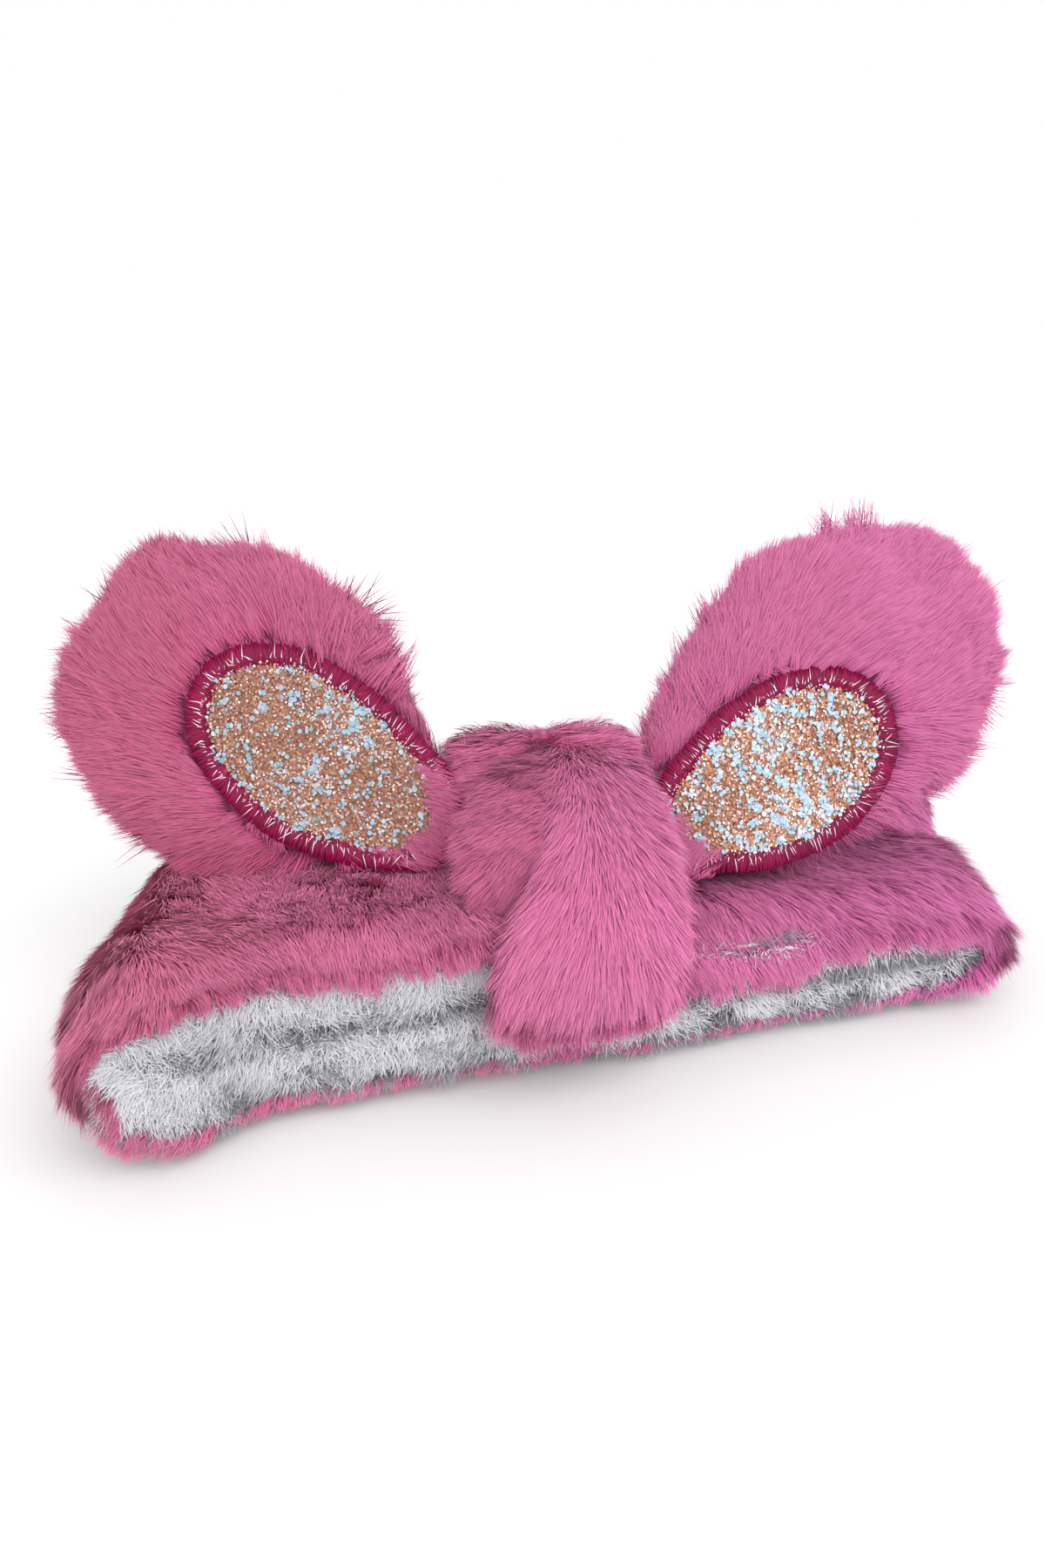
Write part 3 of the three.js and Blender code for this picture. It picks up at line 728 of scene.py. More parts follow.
class HAIRBAND_OT_band_plush(bpy.types.Operator):
    """The outer plush of the loop: its knitted cloth and its long pink pile"""

    bl_idname = "hair_band.band_plush"
    bl_label = "Band plush"

    def execute(self, context):
        loop = Loop()
        pile = settings()[1]
        under = 2.6 * MM
        path = loop.path((under, under),
                         (loop.tops["left"] - PILE_DEPTH, loop.tops["right"] - PILE_DEPTH),
                         loop.ends["left"] + PILE_DEPTH,
                         loop.ends["right"] - PILE_DEPTH + 4.5 * MM)

        def shape(points):
            reach = points.copy()
            near = smooth(-(points[:, 1] - loop.near * 0.2) / (0.8 * -loop.near))
            at_left = smooth((loop.left_span + 18 * MM - points[:, 0]) / (24 * MM))
            reach[:, 1] -= near * at_left * (loop.flare)
            edge = smooth((np.abs(points[:, 1]) - 22 * MM) / (14 * MM))
            reach[:, 1] += edge * ripple(points, 46 * MM, 3) * 1.2 * MM
            lift = smooth(points[:, 2] / (20 * MM))
            reach[:, 2] += lift * ripple(points, 40 * MM, 4) * 1.3 * MM
            # beside the wrap, the front half's edge is drawn down over the lining
            beside = smooth((points[:, 0] - 5 * MM) / (15 * MM)) \
                * smooth((90 * MM - points[:, 0]) / (50 * MM))
            reach[:, 2] -= lift * beside * near ** 2 * 7 * MM
            # the crown edge stands up at the tight fold
            crown = smooth(points[:, 1] / (32 * MM)) \
                * smooth((points[:, 0] - 30 * MM) / (45 * MM))
            reach[:, 2] += lift * crown * 15 * MM
            reach[:, 0] += crown * 3 * MM
            reach[:, 1] -= near * at_left * smooth(1 - points[:, 2] / (15 * MM)) * 2 * MM
            return reach

        cloth = swept_loop("band_plush_cloth", loop, path, 1.2 * MM, loop.near + 5.5 * MM,
                           loop.far - 5.5 * MM, FINISH["pink_knit"], shape, roll_in=3.2 * MM)
        middle_z = (loop.tops["left"] + loop.tops["right"]) / 4

        def outside(points, normals):
            core = np.stack([np.clip(points[:, 0], loop.left_span, loop.right_span),
                             points[:, 1], np.full(len(points), middle_z)], axis=1)
            gap = points - core
            out = unit(gap * (1, 0, 1))
            return np.sum(normals * out, axis=1)

        regions = {
            "front_left": (95000, lambda p: (p[:, 2] > 18 * MM) & (p[:, 0] < 0)
                           & (p[:, 0] > loop.left_span)),
            "front_right": (90000, lambda p: (p[:, 2] > 15 * MM) & (p[:, 0] >= 0)
                            & (p[:, 0] < loop.right_span)),
            "left_fold": (60000, lambda p: p[:, 0] <= loop.left_span),
            "right_fold": (50000, lambda p: p[:, 0] >= loop.right_span),
            "back": (50000, lambda p: (p[:, 2] <= 15 * MM) & (p[:, 0] > loop.left_span)
                     & (p[:, 0] < loop.right_span)),
        }
        for k, (region, (strands, inside)) in enumerate(regions.items()):

            def weight(points, normals):
                out = outside(points, normals)
                rim = smooth((np.abs(points[:, 1]) - 26 * MM) / (8 * MM))
                hidden = (np.abs(points[:, 0]) < 14 * MM) & (np.abs(points[:, 1]) < 30 * MM)
                below = (normals[:, 2] < -0.7) & (np.abs(points[:, 1]) < 24 * MM)
                share = np.where(out > -0.5 - 0.4 * rim, 0.8 + rim * 0.9, 0.0)
                return inside(points) * share * np.where(hidden, 0.05, 1) * np.where(below, 0.12, 1)

            roots, normals = skin_samples(cloth, amount(strands), weight, 20 + k)
            under_it = normals[:, 2] < -0.3
            lay = band_lay(roots)
            at_edge = np.abs(normals[:, 1]) > 0.6
            low_rim = at_edge & (roots[:, 2] < 9 * MM)
            lay[at_edge & ~under_it & ~low_rim] += (0.2, 0, -0.9)
            lay[low_rim] = (-0.7, 0, -0.35)
            if region == "back":
                lay = np.stack([-0.55 + 0.3 * ripple(roots, 30 * MM, 5),
                                np.sign(roots[:, 1]) * 1.1, -0.1 + 0 * roots[:, 0]], axis=1)
            lift = np.where(under_it, 12, 38 + 6 * ripple(roots, 30 * MM, 6))
            open_fold = smooth((loop.left_span + 22 * MM - roots[:, 0]) / (26 * MM))
            length = pile.long_pile * np.where(under_it, 0.62, 1.0) \
                * (1 + 0.10 * ripple(roots, 24 * MM, 7)) \
                * np.where(at_edge, 0.85 - 0.3 * open_fold * (roots[:, 2] > 16 * MM), 1.0)
            if region == "back":
                length = length * 0.66
            fur = grow(f"band_pile_{region}", roots, normals, lay, FINISH["pile"], 40 + k,
                       length, pile.strand, root_lift=lift, tip_lift=np.where(under_it, 2, 6))
            crosses_slit(fur)
        crosses_slit(cloth)
        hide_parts("band_outer_back", "band_outer_front", "band_outer_left_fold",
                    "band_outer_right_fold")
        return {"FINISHED"}


class HAIRBAND_OT_lining(bpy.types.Operator):
    """The white lining of the loop: its knitted cloth and its short dense pile"""

    bl_idname = "hair_band.lining"
    bl_label = "White lining"

    def execute(self, context):
        loop = Loop()
        pile = settings()[1]
        left, right = loop.lining["left"], loop.lining["right"]
        slit_left, slit_right = loop.slit["left"], loop.slit["right"]
        low = ((left[0] + slit_left[0]) / 2, (right[0] + slit_right[0]) / 2)
        high = ((left[1] + slit_left[1]) / 2, (right[1] + slit_right[1]) / 2)
        inset = 4.5 * MM
        low = (low[0] + 1.2 * MM, low[1])
        path = loop.path(low, high, left[2] + inset + 2 * MM, right[2] - inset)

        def shape(points):
            moved = points.copy()
            near = smooth(-(points[:, 1] - loop.near * 0.2) / (0.8 * -loop.near))
            at_left = smooth((loop.left_span + 18 * MM - points[:, 0]) / (24 * MM))
            moved[:, 1] -= near * at_left * (loop.flare + 0.6 * MM)
            moved[:, 1] += near * ripple(points, 30 * MM, 8) * 1.0 * MM
            moved[:, 2] += ripple(points, 34 * MM, 9) * 0.8 * MM
            # the open fold's lining spills down to the surface
            spill = near * at_left * smooth((22 * MM - points[:, 2]) / (14 * MM))
            moved[:, 2] -= spill * 1.5 * MM
            moved[:, 1] -= spill * 1.5 * MM
            return moved

        cloth = swept_loop("band_lining_cloth", loop, path, 1.0 * MM, loop.near + 5.5 * MM,
                           loop.far - 6 * MM, FINISH["white_knit"], shape,
                           full=(5.4 * MM, 1.4 * MM))

        for k, (region, strands, side) in enumerate((("face_left", 95000, -1),
                                                     ("face_right", 60000, -1),
                                                     ("crown", 45000, 1))):

            def weight(points, normals):
                rim = side * points[:, 1]
                share = smooth((rim - 12 * MM) / (20 * MM)) * 1.6 + 0.02
                if region == "face_left":
                    share = share * (points[:, 0] < -8 * MM) * (points[:, 1] < 0)
                elif region == "face_right":
                    share = share * (points[:, 0] >= -8 * MM) * (points[:, 1] < 0)
                else:
                    share = share * (points[:, 1] >= 0)
                return share

            roots, normals = skin_samples(cloth, amount(strands), weight, 60 + k)
            lay = np.stack([0.5 * ripple(roots, 18 * MM, 10) - 0.2,
                            np.full(len(roots), side * 1.3),
                            0.4 * ripple(roots, 16 * MM, 12)], axis=1)
            fur = grow(f"lining_pile_{region}", roots, normals, lay, FINISH["white_pile"], 70 + k,
                       pile.lining_pile * (1 + 0.10 * ripple(roots, 12 * MM, 13)),
                       pile.strand * 1.15, root_lift=66, tip_lift=36,
                       tufts=((1.4, 0.2), (4.0, 0.15)), wander=0.5, curl=0.3 * MM,
                       own_light=0.05)
            crosses_slit(fur)
        crosses_slit(cloth)
        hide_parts("band_lining_back", "band_lining_front", "band_lining_left_fold",
                    "band_lining_right_fold")
        return {"FINISHED"}


def strip_along(name, loop, base, top, near, far, margin, material, rib):
    """A closed strip along the span between two heights, ribbed across."""
    length = loop.right_span - loop.left_span - 2 * margin
    bm = bmesh.new()
    bmesh.ops.create_cube(bm, size=1)
    long_edges = [e for e in bm.edges if abs(e.verts[0].co.x - e.verts[1].co.x) > 0.5]
    bmesh.ops.subdivide_edges(bm, edges=long_edges, cuts=int(length / rib), use_grid_fill=True)
    wide_edges = [e for e in bm.edges if abs(e.verts[0].co.y - e.verts[1].co.y) > 0.5]
    bmesh.ops.subdivide_edges(bm, edges=wide_edges, cuts=8, use_grid_fill=True)
    cube = vert_array(bm)
    x = loop.left_span + margin + (cube[:, 0] + 0.5) * length
    y = (near + far) / 2 + cube[:, 1] * (far - near)
    wave = 0.12 * MM * np.sin(x / rib * math.pi) * np.sign(cube[:, 2])
    z = np.where(cube[:, 2] > 0, loop.level(x, *top), loop.level(x, *base)) + wave
    move_verts(bm, np.stack([x + loop.skew * y, y, z], axis=1))
    return piece_from(bm, name, material)


def heights(node, loop):
    """The lowest and highest place of a layer at the left and the right of the wrap."""
    points = node_points(node)
    x = loop.straight(points)
    left, right = points[x < x.min() + 2 * MM], points[x > x.max() - 2 * MM]
    return ((left[:, 2].min(), right[:, 2].min()), (left[:, 2].max(), right[:, 2].max()))


class HAIRBAND_OT_inner_layers(bpy.types.Operator):
    """The elastic of the back half and the wadding of the front half"""

    bl_idname = "hair_band.inner_layers"
    bl_label = "Elastic and wadding"

    def execute(self, context):
        loop = Loop()
        for node, body, finish, slot, rib in (
                ("band_elastic", "back_half", "elastic", "elastic", 2.2 * MM),
                ("front_wadding", "front_half", "wadding", "wadding", 4 * MM)):
            low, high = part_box(node)
            x = loop.straight(node_points(node))
            base, top = heights(node, loop)
            margin = x.min() - loop.left_span
            name = "elastic_webbing" if node == "band_elastic" else "wadding_pad"
            strip = strip_along(name, loop, base, top, low.y, high.y, margin, FINISH[finish], rib)
            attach(strip, body)
            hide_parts(node)
        return {"FINISHED"}


# ---------------------------------------------------------------- the wrap


def roll(name, spine, widths, thickness, lean, material, groove=None, rings=40, round_it=28):
    """A soft roll of cloth along a spine: a closed tube, wide along X and rounded off at both
    ends. spine is points in X, Y and Z, widths its half-width at each, lean the middle of the
    object that its inner face looks to."""
    spine, widths = np.array(spine, float), np.array(widths, float)
    knots = np.linspace(0, 1, len(spine))
    t = np.linspace(0, 1, rings + 1)
    line = np.stack([catmull(knots, spine[:, k], t) for k in range(3)], axis=1)
    half = catmull(knots, widths, t)
    tangent = unit(np.gradient(line, axis=0))
    across = unit(np.array((1.0, 0, 0)) - tangent * tangent[:, :1])
    out = np.cross(across, tangent)
    flip = np.sum(out * (line - lean), axis=1) < 0
    out[flip] *= -1
    ease = np.sqrt(np.clip(1 - np.maximum(0, 1 - np.minimum(t, 1 - t) / 0.06) ** 2, 0, 1))
    bm = bmesh.new()
    bmesh.ops.create_grid(bm, x_segments=rings, y_segments=round_it, size=0.5)
    grid = vert_array(bm)
    i = np.rint((grid[:, 0] + 0.5) * rings).astype(int)
    angle = (np.rint((grid[:, 1] + 0.5) * round_it) % round_it) / round_it * 2 * math.pi
    flat = np.sign(np.sin(angle)) * np.abs(np.sin(angle)) ** 0.8
    points = line[i] + across[i] * (half[i] * ease[i] * np.cos(angle))[:, None] \
        + out[i] * (thickness * ease[i] * flat)[:, None]
    if groove is not None:
        points = groove(points)
    move_verts(bm, points)
    return piece_from(bm, name, material)


def catmull(knots, values, t):
    """A smooth curve through values, by cubic steps between the knots."""
    slopes = np.gradient(values, knots)
    k = np.clip(np.searchsorted(knots, t, "right") - 1, 0, len(knots) - 2)
    gap = knots[k + 1] - knots[k]
    s = (t - knots[k]) / gap
    return (values[k] * (1 + 2 * s) * (1 - s) ** 2 + values[k + 1] * s * s * (3 - 2 * s)
            + slopes[k] * gap * s * (1 - s) ** 2 + slopes[k + 1] * gap * s * s * (s - 1))


def nearest_on(line, points):
    """The nearest places on a bent line."""
    best, least = None, None
    for a, b in zip(line[:-1], line[1:]):
        t = np.clip((points - a) @ (b - a) / ((b - a) @ (b - a)), 0, 1)
        near = a + t[:, None] * (b - a)
        far = np.linalg.norm(points - near, axis=1)
        if best is None:
            best, least = near, far
        else:
            closer = far < least
            best = np.where(closer[:, None], near, best)
            least = np.where(closer, far, least)
    return best


class HAIRBAND_OT_wrap(bpy.types.Operator):
    """The centre wrap: the strap over the roots of the ears, its folded lobe and its inner run"""

    bl_idname = "hair_band.wrap"
    bl_label = "Centre wrap"

    def execute(self, context):
        loop = Loop()
        pile = settings()[1]
        low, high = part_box("wrap_outer")
        top, hem = high.z - PILE_DEPTH - 6 * MM, low.z + 11 * MM
        front, back = low.y + PILE_DEPTH, high.y - PILE_DEPTH
        heart = np.array((0, 0, (hem + top) / 2))
        strap = roll("wrap_strap_cloth",
                     [(-4 * MM, front + 3 * MM, hem), (-3 * MM, front, hem + 9 * MM),
                      (1 * MM, front + 4 * MM, hem + 20 * MM), (6 * MM, front + 15 * MM, top - 8 * MM),
                      (7 * MM, -8 * MM, top), (4 * MM, 14 * MM, top - 3 * MM),
                      (-1 * MM, back - 10 * MM, top - 16 * MM), (-3 * MM, back, hem + 12 * MM),
                      (-4 * MM, back - 2 * MM, hem)],
                     [16.5 * MM, 17.5 * MM, 14.5 * MM, 10.5 * MM, 9.5 * MM, 11 * MM, 13 * MM,
                      15 * MM, 15 * MM], 3.4 * MM, heart, FINISH["pink_knit"])
        lobe = roll("wrap_lobe_cloth",
                    [(6 * MM, -4 * MM, top - 1 * MM), (-5 * MM, -13 * MM, top - 3 * MM),
                     (-13 * MM, -23 * MM, top - 11 * MM), (-15 * MM, -26 * MM, top - 23 * MM)],
                    [8 * MM, 9 * MM, 8 * MM, 4 * MM], 3.4 * MM, heart, FINISH["pink_knit"])
        parting = np.array(((9 * MM, 0, top + 4 * MM), (8 * MM, -26 * MM, top - 3 * MM),
                            (4 * MM, front, hem + 20 * MM)))

        def strap_weight(points, normals):
            out = np.sum(normals * unit(points - heart), axis=1)
            return np.where(out > -0.1, 1.0, 0.0) * np.where(points[:, 1] < 5 * MM, 1.0, 0.55)

        roots, normals = skin_samples(strap, amount(50000), strap_weight, 81)
        aside = roots - nearest_on(parting, roots)
        away = smooth(np.linalg.norm(aside, axis=1, keepdims=True) / (13 * MM))
        lay = unit(aside) * away * 0.8 + (0.05, -0.6, -0.6)
        behind = roots[:, 1] > 13 * MM
        lay[behind] = unit(roots[behind] * (0.6, 0, 0) + (0, 0.8, -0.6))
        strap_fur = grow("wrap_strap_pile", roots, normals, lay, FINISH["pile"], 82,
                         pile.long_pile * 1.0, pile.strand, root_lift=34, tip_lift=5,
                         wander=0.16, tufts=((1.8, 0.45), (5.0, 0.15)))
        roots, normals = skin_samples(lobe, amount(26000), strap_weight, 83)
        lay = np.stack([-0.8 + 0 * roots[:, 0], -0.3 + 0.3 * ripple(roots, 20 * MM, 14),
                        -0.5 + 0 * roots[:, 0]], axis=1)
        lobe_fur = grow("wrap_lobe_pile", roots, normals, lay, FINISH["ear_pile"], 84,
                        pile.long_pile * 0.95, pile.strand, root_lift=42, tip_lift=8)
        for piece in (strap, lobe, strap_fur, lobe_fur):
            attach(piece, "front_half")
        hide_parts("wrap_outer")

        inner_low, inner_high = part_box("wrap_inner")
        run = strip_along_wrap("wrap_inner_run", loop, inner_low, inner_high)
        gather = gathered_roots("ear_roots_gathered")
        roots, normals = skin_samples(gather, amount(22000),
                                      lambda p, n: 0.15 + (n[:, 1] < 0.2) * (n[:, 2] < 0.8), 86)
        lay = np.stack([np.sign(roots[:, 0]) * 0.9, np.zeros(len(roots)) - 0.1,
                        np.full(len(roots), -0.2)], axis=1)
        gather_fur = grow("ear_roots_pile", roots, normals, lay, FINISH["ear_pile"], 87,
                          pile.long_pile * 0.75, pile.strand, root_lift=40, tip_lift=8)
        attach(gather_fur, "front_half")
        for piece, node, slot in ((run, "wrap_inner", "band_plush"),
                                  (gather, "ear_root_gather", "ear_plush")):
            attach(piece, "front_half")
            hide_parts(node)
        return {"FINISHED"}


def strip_along_wrap(name, loop, low, high):
    """The strap's run through the loop: a soft flat strip with ridges along it."""
    bm = bmesh.new()
    bmesh.ops.create_cube(bm, size=1)
    bmesh.ops.subdivide_edges(bm, edges=bm.edges, cuts=9, use_grid_fill=True)
    cube = vert_array(bm)
    x = (low.x + high.x) / 2 + cube[:, 0] * (high.x - low.x - 12 * MM)
    y = (low.y + high.y) / 2 + cube[:, 1] * (high.y - low.y)
    left, right = loop.slit["left"], loop.slit["right"]
    middle = loop.level(x - loop.skew * y, sum(left) / 2, sum(right) / 2)
    ridge = 0.4 * MM * np.sin(x / (3.5 * MM) * math.pi)
    z = middle + cube[:, 2] * 3 * MM + ridge * np.sign(cube[:, 2])
    move_verts(bm, np.stack([x, y, z], axis=1))
    return piece_from(bm, name, FINISH["pink_knit"])


def gathered_roots(name):
    """The two ears' roots inside the wrap: plush drawn into deep pleats."""
    points = node_points("ear_root_gather")
    middle = points.mean(axis=0)
    spread = points - middle
    bm = bmesh.new()
    bmesh.ops.create_cone(bm, cap_ends=True, segments=36, radius1=1, radius2=1, depth=2)
    sides = [e for e in bm.edges if abs(e.verts[0].co.z - e.verts[1].co.z) > 1]
    bmesh.ops.subdivide_edges(bm, edges=sides, cuts=8, use_grid_fill=True)
    drum = vert_array(bm)
    _, _, axes = np.linalg.svd(spread - spread.mean(axis=0), full_matrices=False)
    size = np.abs(spread @ axes.T).max(axis=0)
    angle = np.arctan2(drum[:, 1], drum[:, 0])
    pleat = 0.86 + 0.06 * np.cos(angle * 9)
    local = np.stack([drum[:, 2] * size[0] * 0.9, drum[:, 0] * size[1] * pleat,
                      drum[:, 1] * size[2] * pleat], axis=1)
    move_verts(bm, middle + local @ axes)
    return piece_from(bm, name, FINISH["pink_knit"])


# ---------------------------------------------------------------- the ears


def ear_ball(bm, segments=56, rings=40):
    bmesh.ops.create_uvsphere(bm, u_segments=segments, v_segments=rings, radius=1)
    ball = vert_array(bm)
    return np.stack([ball[:, 2], ball[:, 0], ball[:, 1]], axis=1)


def ear_cloth(ear, name, material, face_sign, gap=0.4 * MM):
    """One panel of an ear, a closed half of the pillow on one side of the seam."""
    bm = bmesh.new()
    places = ear_skin_point(ear, ear_ball(bm))
    lump = ripple(places, 34 * MM, 15 if ear.side == "left" else 16) * 1.0 * MM
    places[:, 2] += lump * np.abs(places[:, 2]) / (6 * MM)
    move_verts(bm, places)
    geometry = list(bm.verts) + list(bm.edges) + list(bm.faces)
    bmesh.ops.bisect_plane(bm, geom=geometry, plane_co=(0, 0, face_sign * gap),
                           plane_no=(0, 0, face_sign), clear_inner=True)
    rim = [e for e in bm.edges if e.is_boundary]
    bmesh.ops.holes_fill(bm, edges=rim, sides=0)
    bmesh.ops.triangulate(bm, faces=[f for f in bm.faces if len(f.verts) > 4])
    move_verts(bm, ear.world(vert_array(bm)))
    return piece_from(bm, name, material)


def disc(ear, name, material, reach, bottom, top, crown, steps=72, rings=12):
    """A thin closed disc of the patch's outline, crowned in the middle. reach(angle) is its
    radius, and bottom and top are heights above the ear's middle."""
    bm = bmesh.new()
    bmesh.ops.create_uvsphere(bm, u_segments=steps, v_segments=rings, radius=1)
    ball = vert_array(bm)
    angle = np.arctan2(ball[:, 1], ball[:, 0])
    out = np.clip(np.hypot(ball[:, 0], ball[:, 1]), 0, 1)
    plate = reach(angle) * out ** 1.2
    rim = (1 - out ** 8) ** 0.5
    middle, half = (bottom + top) / 2, (top - bottom) / 2
    height = middle + crown * (1 - out ** 2) + half * np.sign(ball[:, 2]) * rim
    places = np.stack([ear.middle[0] + plate * np.cos(angle),
                       ear.middle[1] + plate * np.sin(angle), height], axis=1)
    move_verts(bm, ear.world(places))
    return piece_from(bm, name, material)


PATCH_CROWN = 1.2 * MM
PATCH_SINK = 1.6 * MM             # how far the patch is drawn into the pile by its stitches


def shaded_tiles(name, points, faces, material, colours):
    """Copies of one small shape, each with a colour of its own."""
    piece, loops = tiled_mesh(name, points, faces, material)
    shade = piece.data.color_attributes.new("shade", "FLOAT_COLOR", "CORNER")
    per_copy = points.shape[1]
    values = colours[loops // per_copy]
    shade.data.foreach_set("color", values.astype(np.float32).ravel())
    return piece


def frames_on(ear, count, tilt, rng):
    """Directions for small flat things that lie on the patch: two in its face and one out."""
    spin = rng.uniform(0, 2 * math.pi, count)
    normal = unit(np.stack([rng.normal(size=count) * tilt, rng.normal(size=count) * tilt,
                            np.ones(count)], axis=1))
    first = np.stack([np.cos(spin), np.sin(spin), np.zeros(count)], axis=1)
    first = unit(first - normal * np.sum(first * normal, axis=1, keepdims=True))
    return first, np.cross(normal, first), normal


def glitter(ear, name, count, seed):
    """Cut film flakes strewn over the patch: copper grains, clusters of pale blue discs and
    small white flakes painted as glints."""
    rng = np.random.default_rng(seed)
    bm = bmesh.new()
    bmesh.ops.create_circle(bm, cap_ends=True, segments=6, radius=1)
    flake = vert_array(bm)
    faces = [[v.index for v in f.verts] for f in bm.faces]
    bm.free()
    angle = rng.uniform(-math.pi, math.pi, count)
    out = np.sqrt(rng.random(count)) * 1.03
    reach = ear.edge(angle, "patch") * out
    places = np.stack([ear.middle[0] + reach * np.cos(angle),
                       ear.middle[1] + reach * np.sin(angle), np.zeros(count)], axis=1)
    cluster = ripple(places, 4.5 * MM, seed + 1) + 0.6 * ripple(places, 2.6 * MM, seed + 2) \
        + 1.1 * rng.normal(size=count)
    pale = cluster > (2.3 if ear.side == "left" else 1.8)
    # painted highlights: a tenth of the flakes are small and white, painted as glints
    painted_glint = rng.random(count) < 0.10
    size = np.where(pale, rng.uniform(0.32, 0.66, count), rng.uniform(0.24, 0.44, count)) * MM
    size = np.where(painted_glint, rng.uniform(0.16, 0.34, count) * MM, size)
    copper = np.array([linear(c) for c in ("#ad7050", "#9c6044", "#bd8262", "#8b5440", "#bf9074",
                                           "#a36c60")])
    blue = np.array([linear(c) for c in ("#8fb4c8", "#a5c2d0", "#a9b6d0", "#86b6c2", "#bccbd2",
                                         "#9cbcd8")])
    white = np.array([linear(c) for c in ("#e0d2c8", "#d2d2e2", "#dcc0b0")])
    colours = copper[rng.integers(0, len(copper), count)]
    colours[pale] = blue[rng.integers(0, len(blue), int(pale.sum()))]
    colours[painted_glint] = white[rng.integers(0, len(white), int(painted_glint.sum()))]
    # painted light: the left ear's flakes are darkened and the right ear's brightened, as the light falls
    # from the right
    colours[:, :3] *= 0.78 if ear.side == "left" else 1.06
    crown = PATCH_CROWN * (1 - out ** 2)
    places[:, 2] = ear.patch_top - PATCH_SINK + crown + rng.uniform(0.1, 0.55, count) * MM \
        + np.where(pale | painted_glint, 0.35 * MM, 0)
    first, second, normal = frames_on(ear, count, 0.28, rng)
    size = size[:, None, None]
    points = places[:, None] + size * (first[:, None] * flake[None, :, :1]
                                       + second[:, None] * flake[None, :, 1:2] * ear.hand)
    world = ear.world(points.reshape(-1, 3)).reshape(points.shape)
    return shaded_tiles(name, world, faces, FINISH["flake"], colours)


def border_line(ear, count, outset):
    """Places evenly round the patch's edge with the way out of it: (places, outward)."""
    angle = np.linspace(-math.pi, math.pi, 721)[:-1]
    reach = ear.edge(angle, "patch") + outset
    ring = np.stack([ear.middle[0] + reach * np.cos(angle),
                     ear.middle[1] + reach * np.sin(angle)], axis=1)
    step = np.linalg.norm(np.roll(ring, -1, axis=0) - ring, axis=1)
    far = np.concatenate([[0], np.cumsum(step)])
    closed = np.concatenate([ring, ring[:1]])
    at = np.linspace(0, far[-1], count, endpoint=False)
    places = np.stack([np.interp(at, far, closed[:, k]) for k in range(2)], axis=1)
    ahead = np.roll(places, -1, axis=0) - np.roll(places, 1, axis=0)
    outward = unit(np.stack([ahead[:, 1], -ahead[:, 0]], axis=1))
    return places, outward


def satin_stitches(ear, name, seed, colour):
    """The satin border: threads laid close side by side across the patch's edge."""
    rng = np.random.default_rng(seed)
    border = float(np.median(ear.border_edge[1] - ear.patch_edge[1]))
    places, outward = border_line(ear, 520, border / 2)
    count = len(places)
    bm = bmesh.new()
    bmesh.ops.create_cone(bm, cap_ends=True, segments=6, radius1=1, radius2=1, depth=2)
    middle_edges = [e for e in bm.edges if abs(e.verts[0].co.z - e.verts[1].co.z) > 1]
    bmesh.ops.subdivide_edges(bm, edges=middle_edges, cuts=2)
    thread = vert_array(bm)
    faces = [[v.index for v in f.verts] for f in bm.faces]
    bm.free()
    skew = rng.normal(size=count) * 0.10
    outward = unit(outward + np.stack([-outward[:, 1], outward[:, 0]], axis=1) * skew[:, None])
    flat = np.concatenate([outward, np.zeros((count, 1))], axis=1)
    normal = np.tile((0.0, 0, 1), (count, 1))
    side = np.cross(flat, normal) * ear.hand
    half = (border / 2) * rng.uniform(1.3, 1.6, count)
    width = 0.27 * MM
    bow = np.sqrt(np.clip(1 - (thread[:, 2] * 0.92) ** 2, 0, 1))
    height = ear.patch_top - PATCH_SINK - 0.1 * MM + rng.uniform(-0.08, 0.08, count) * MM
    centre = np.concatenate([places, height[:, None]], axis=1)
    points = centre[:, None] + flat[:, None] * (half[:, None] * thread[None, :, 2])[:, :, None] \
        + side[:, None] * (width * thread[:, 0])[None, :, None] \
        + normal[:, None] * (0.3 * MM * thread[:, 1] + 0.75 * MM * bow)[None, :, None]
    base = np.array(linear(colour))
    shade = base[None, :] * (1 + 0.22 * rng.normal(size=count)).clip(0.5, 1.6)[:, None]
    shade[:, 3] = 1
    world = ear.world(points.reshape(-1, 3)).reshape(points.shape)
    return shaded_tiles(name, world, faces, FINISH["satin"], shade)


def stray_fibres(ear, name, seed):
    """Pale fibres of the glitter cloth's cut edge, which stand out across the border."""
    rng = np.random.default_rng(seed)
    places, outward = border_line(ear, 260, 0.2 * MM)
    count = len(places)
    height = np.full((count, 1), ear.patch_top - PATCH_SINK + 0.5 * MM)
    roots = ear.world(np.concatenate([places, height], axis=1))
    lay = np.concatenate([outward, np.zeros((count, 1))], axis=1) \
        + rng.normal(size=(count, 3)) * (0.35, 0.35, 0)
    lay = lay @ np.stack([ear.along, ear.across, ear.face])
    normals = np.tile(ear.face, (count, 1))
    length = np.where(rng.random(count) < 0.3, 3.4, 1.5) * MM * rng.uniform(0.6, 1.3, count)
    return grow(name, roots, normals, lay, FINISH["white_pile"], seed + 1, length, 0.2 * MM,
                root_lift=32, tip_lift=8, tufts=(), wander=0.1)


# degrees round each patch, from the ear's tip upwards: (middle, half-width, fullness) of a lock
LOCKS = {"left": ((20, 34, 0.10), (-80, 20, 0.12), (176, 38, 1.0), (-146, 24, 0.3)),
         "right": ((48, 34, 0.10), (180, 28, 1.0))}


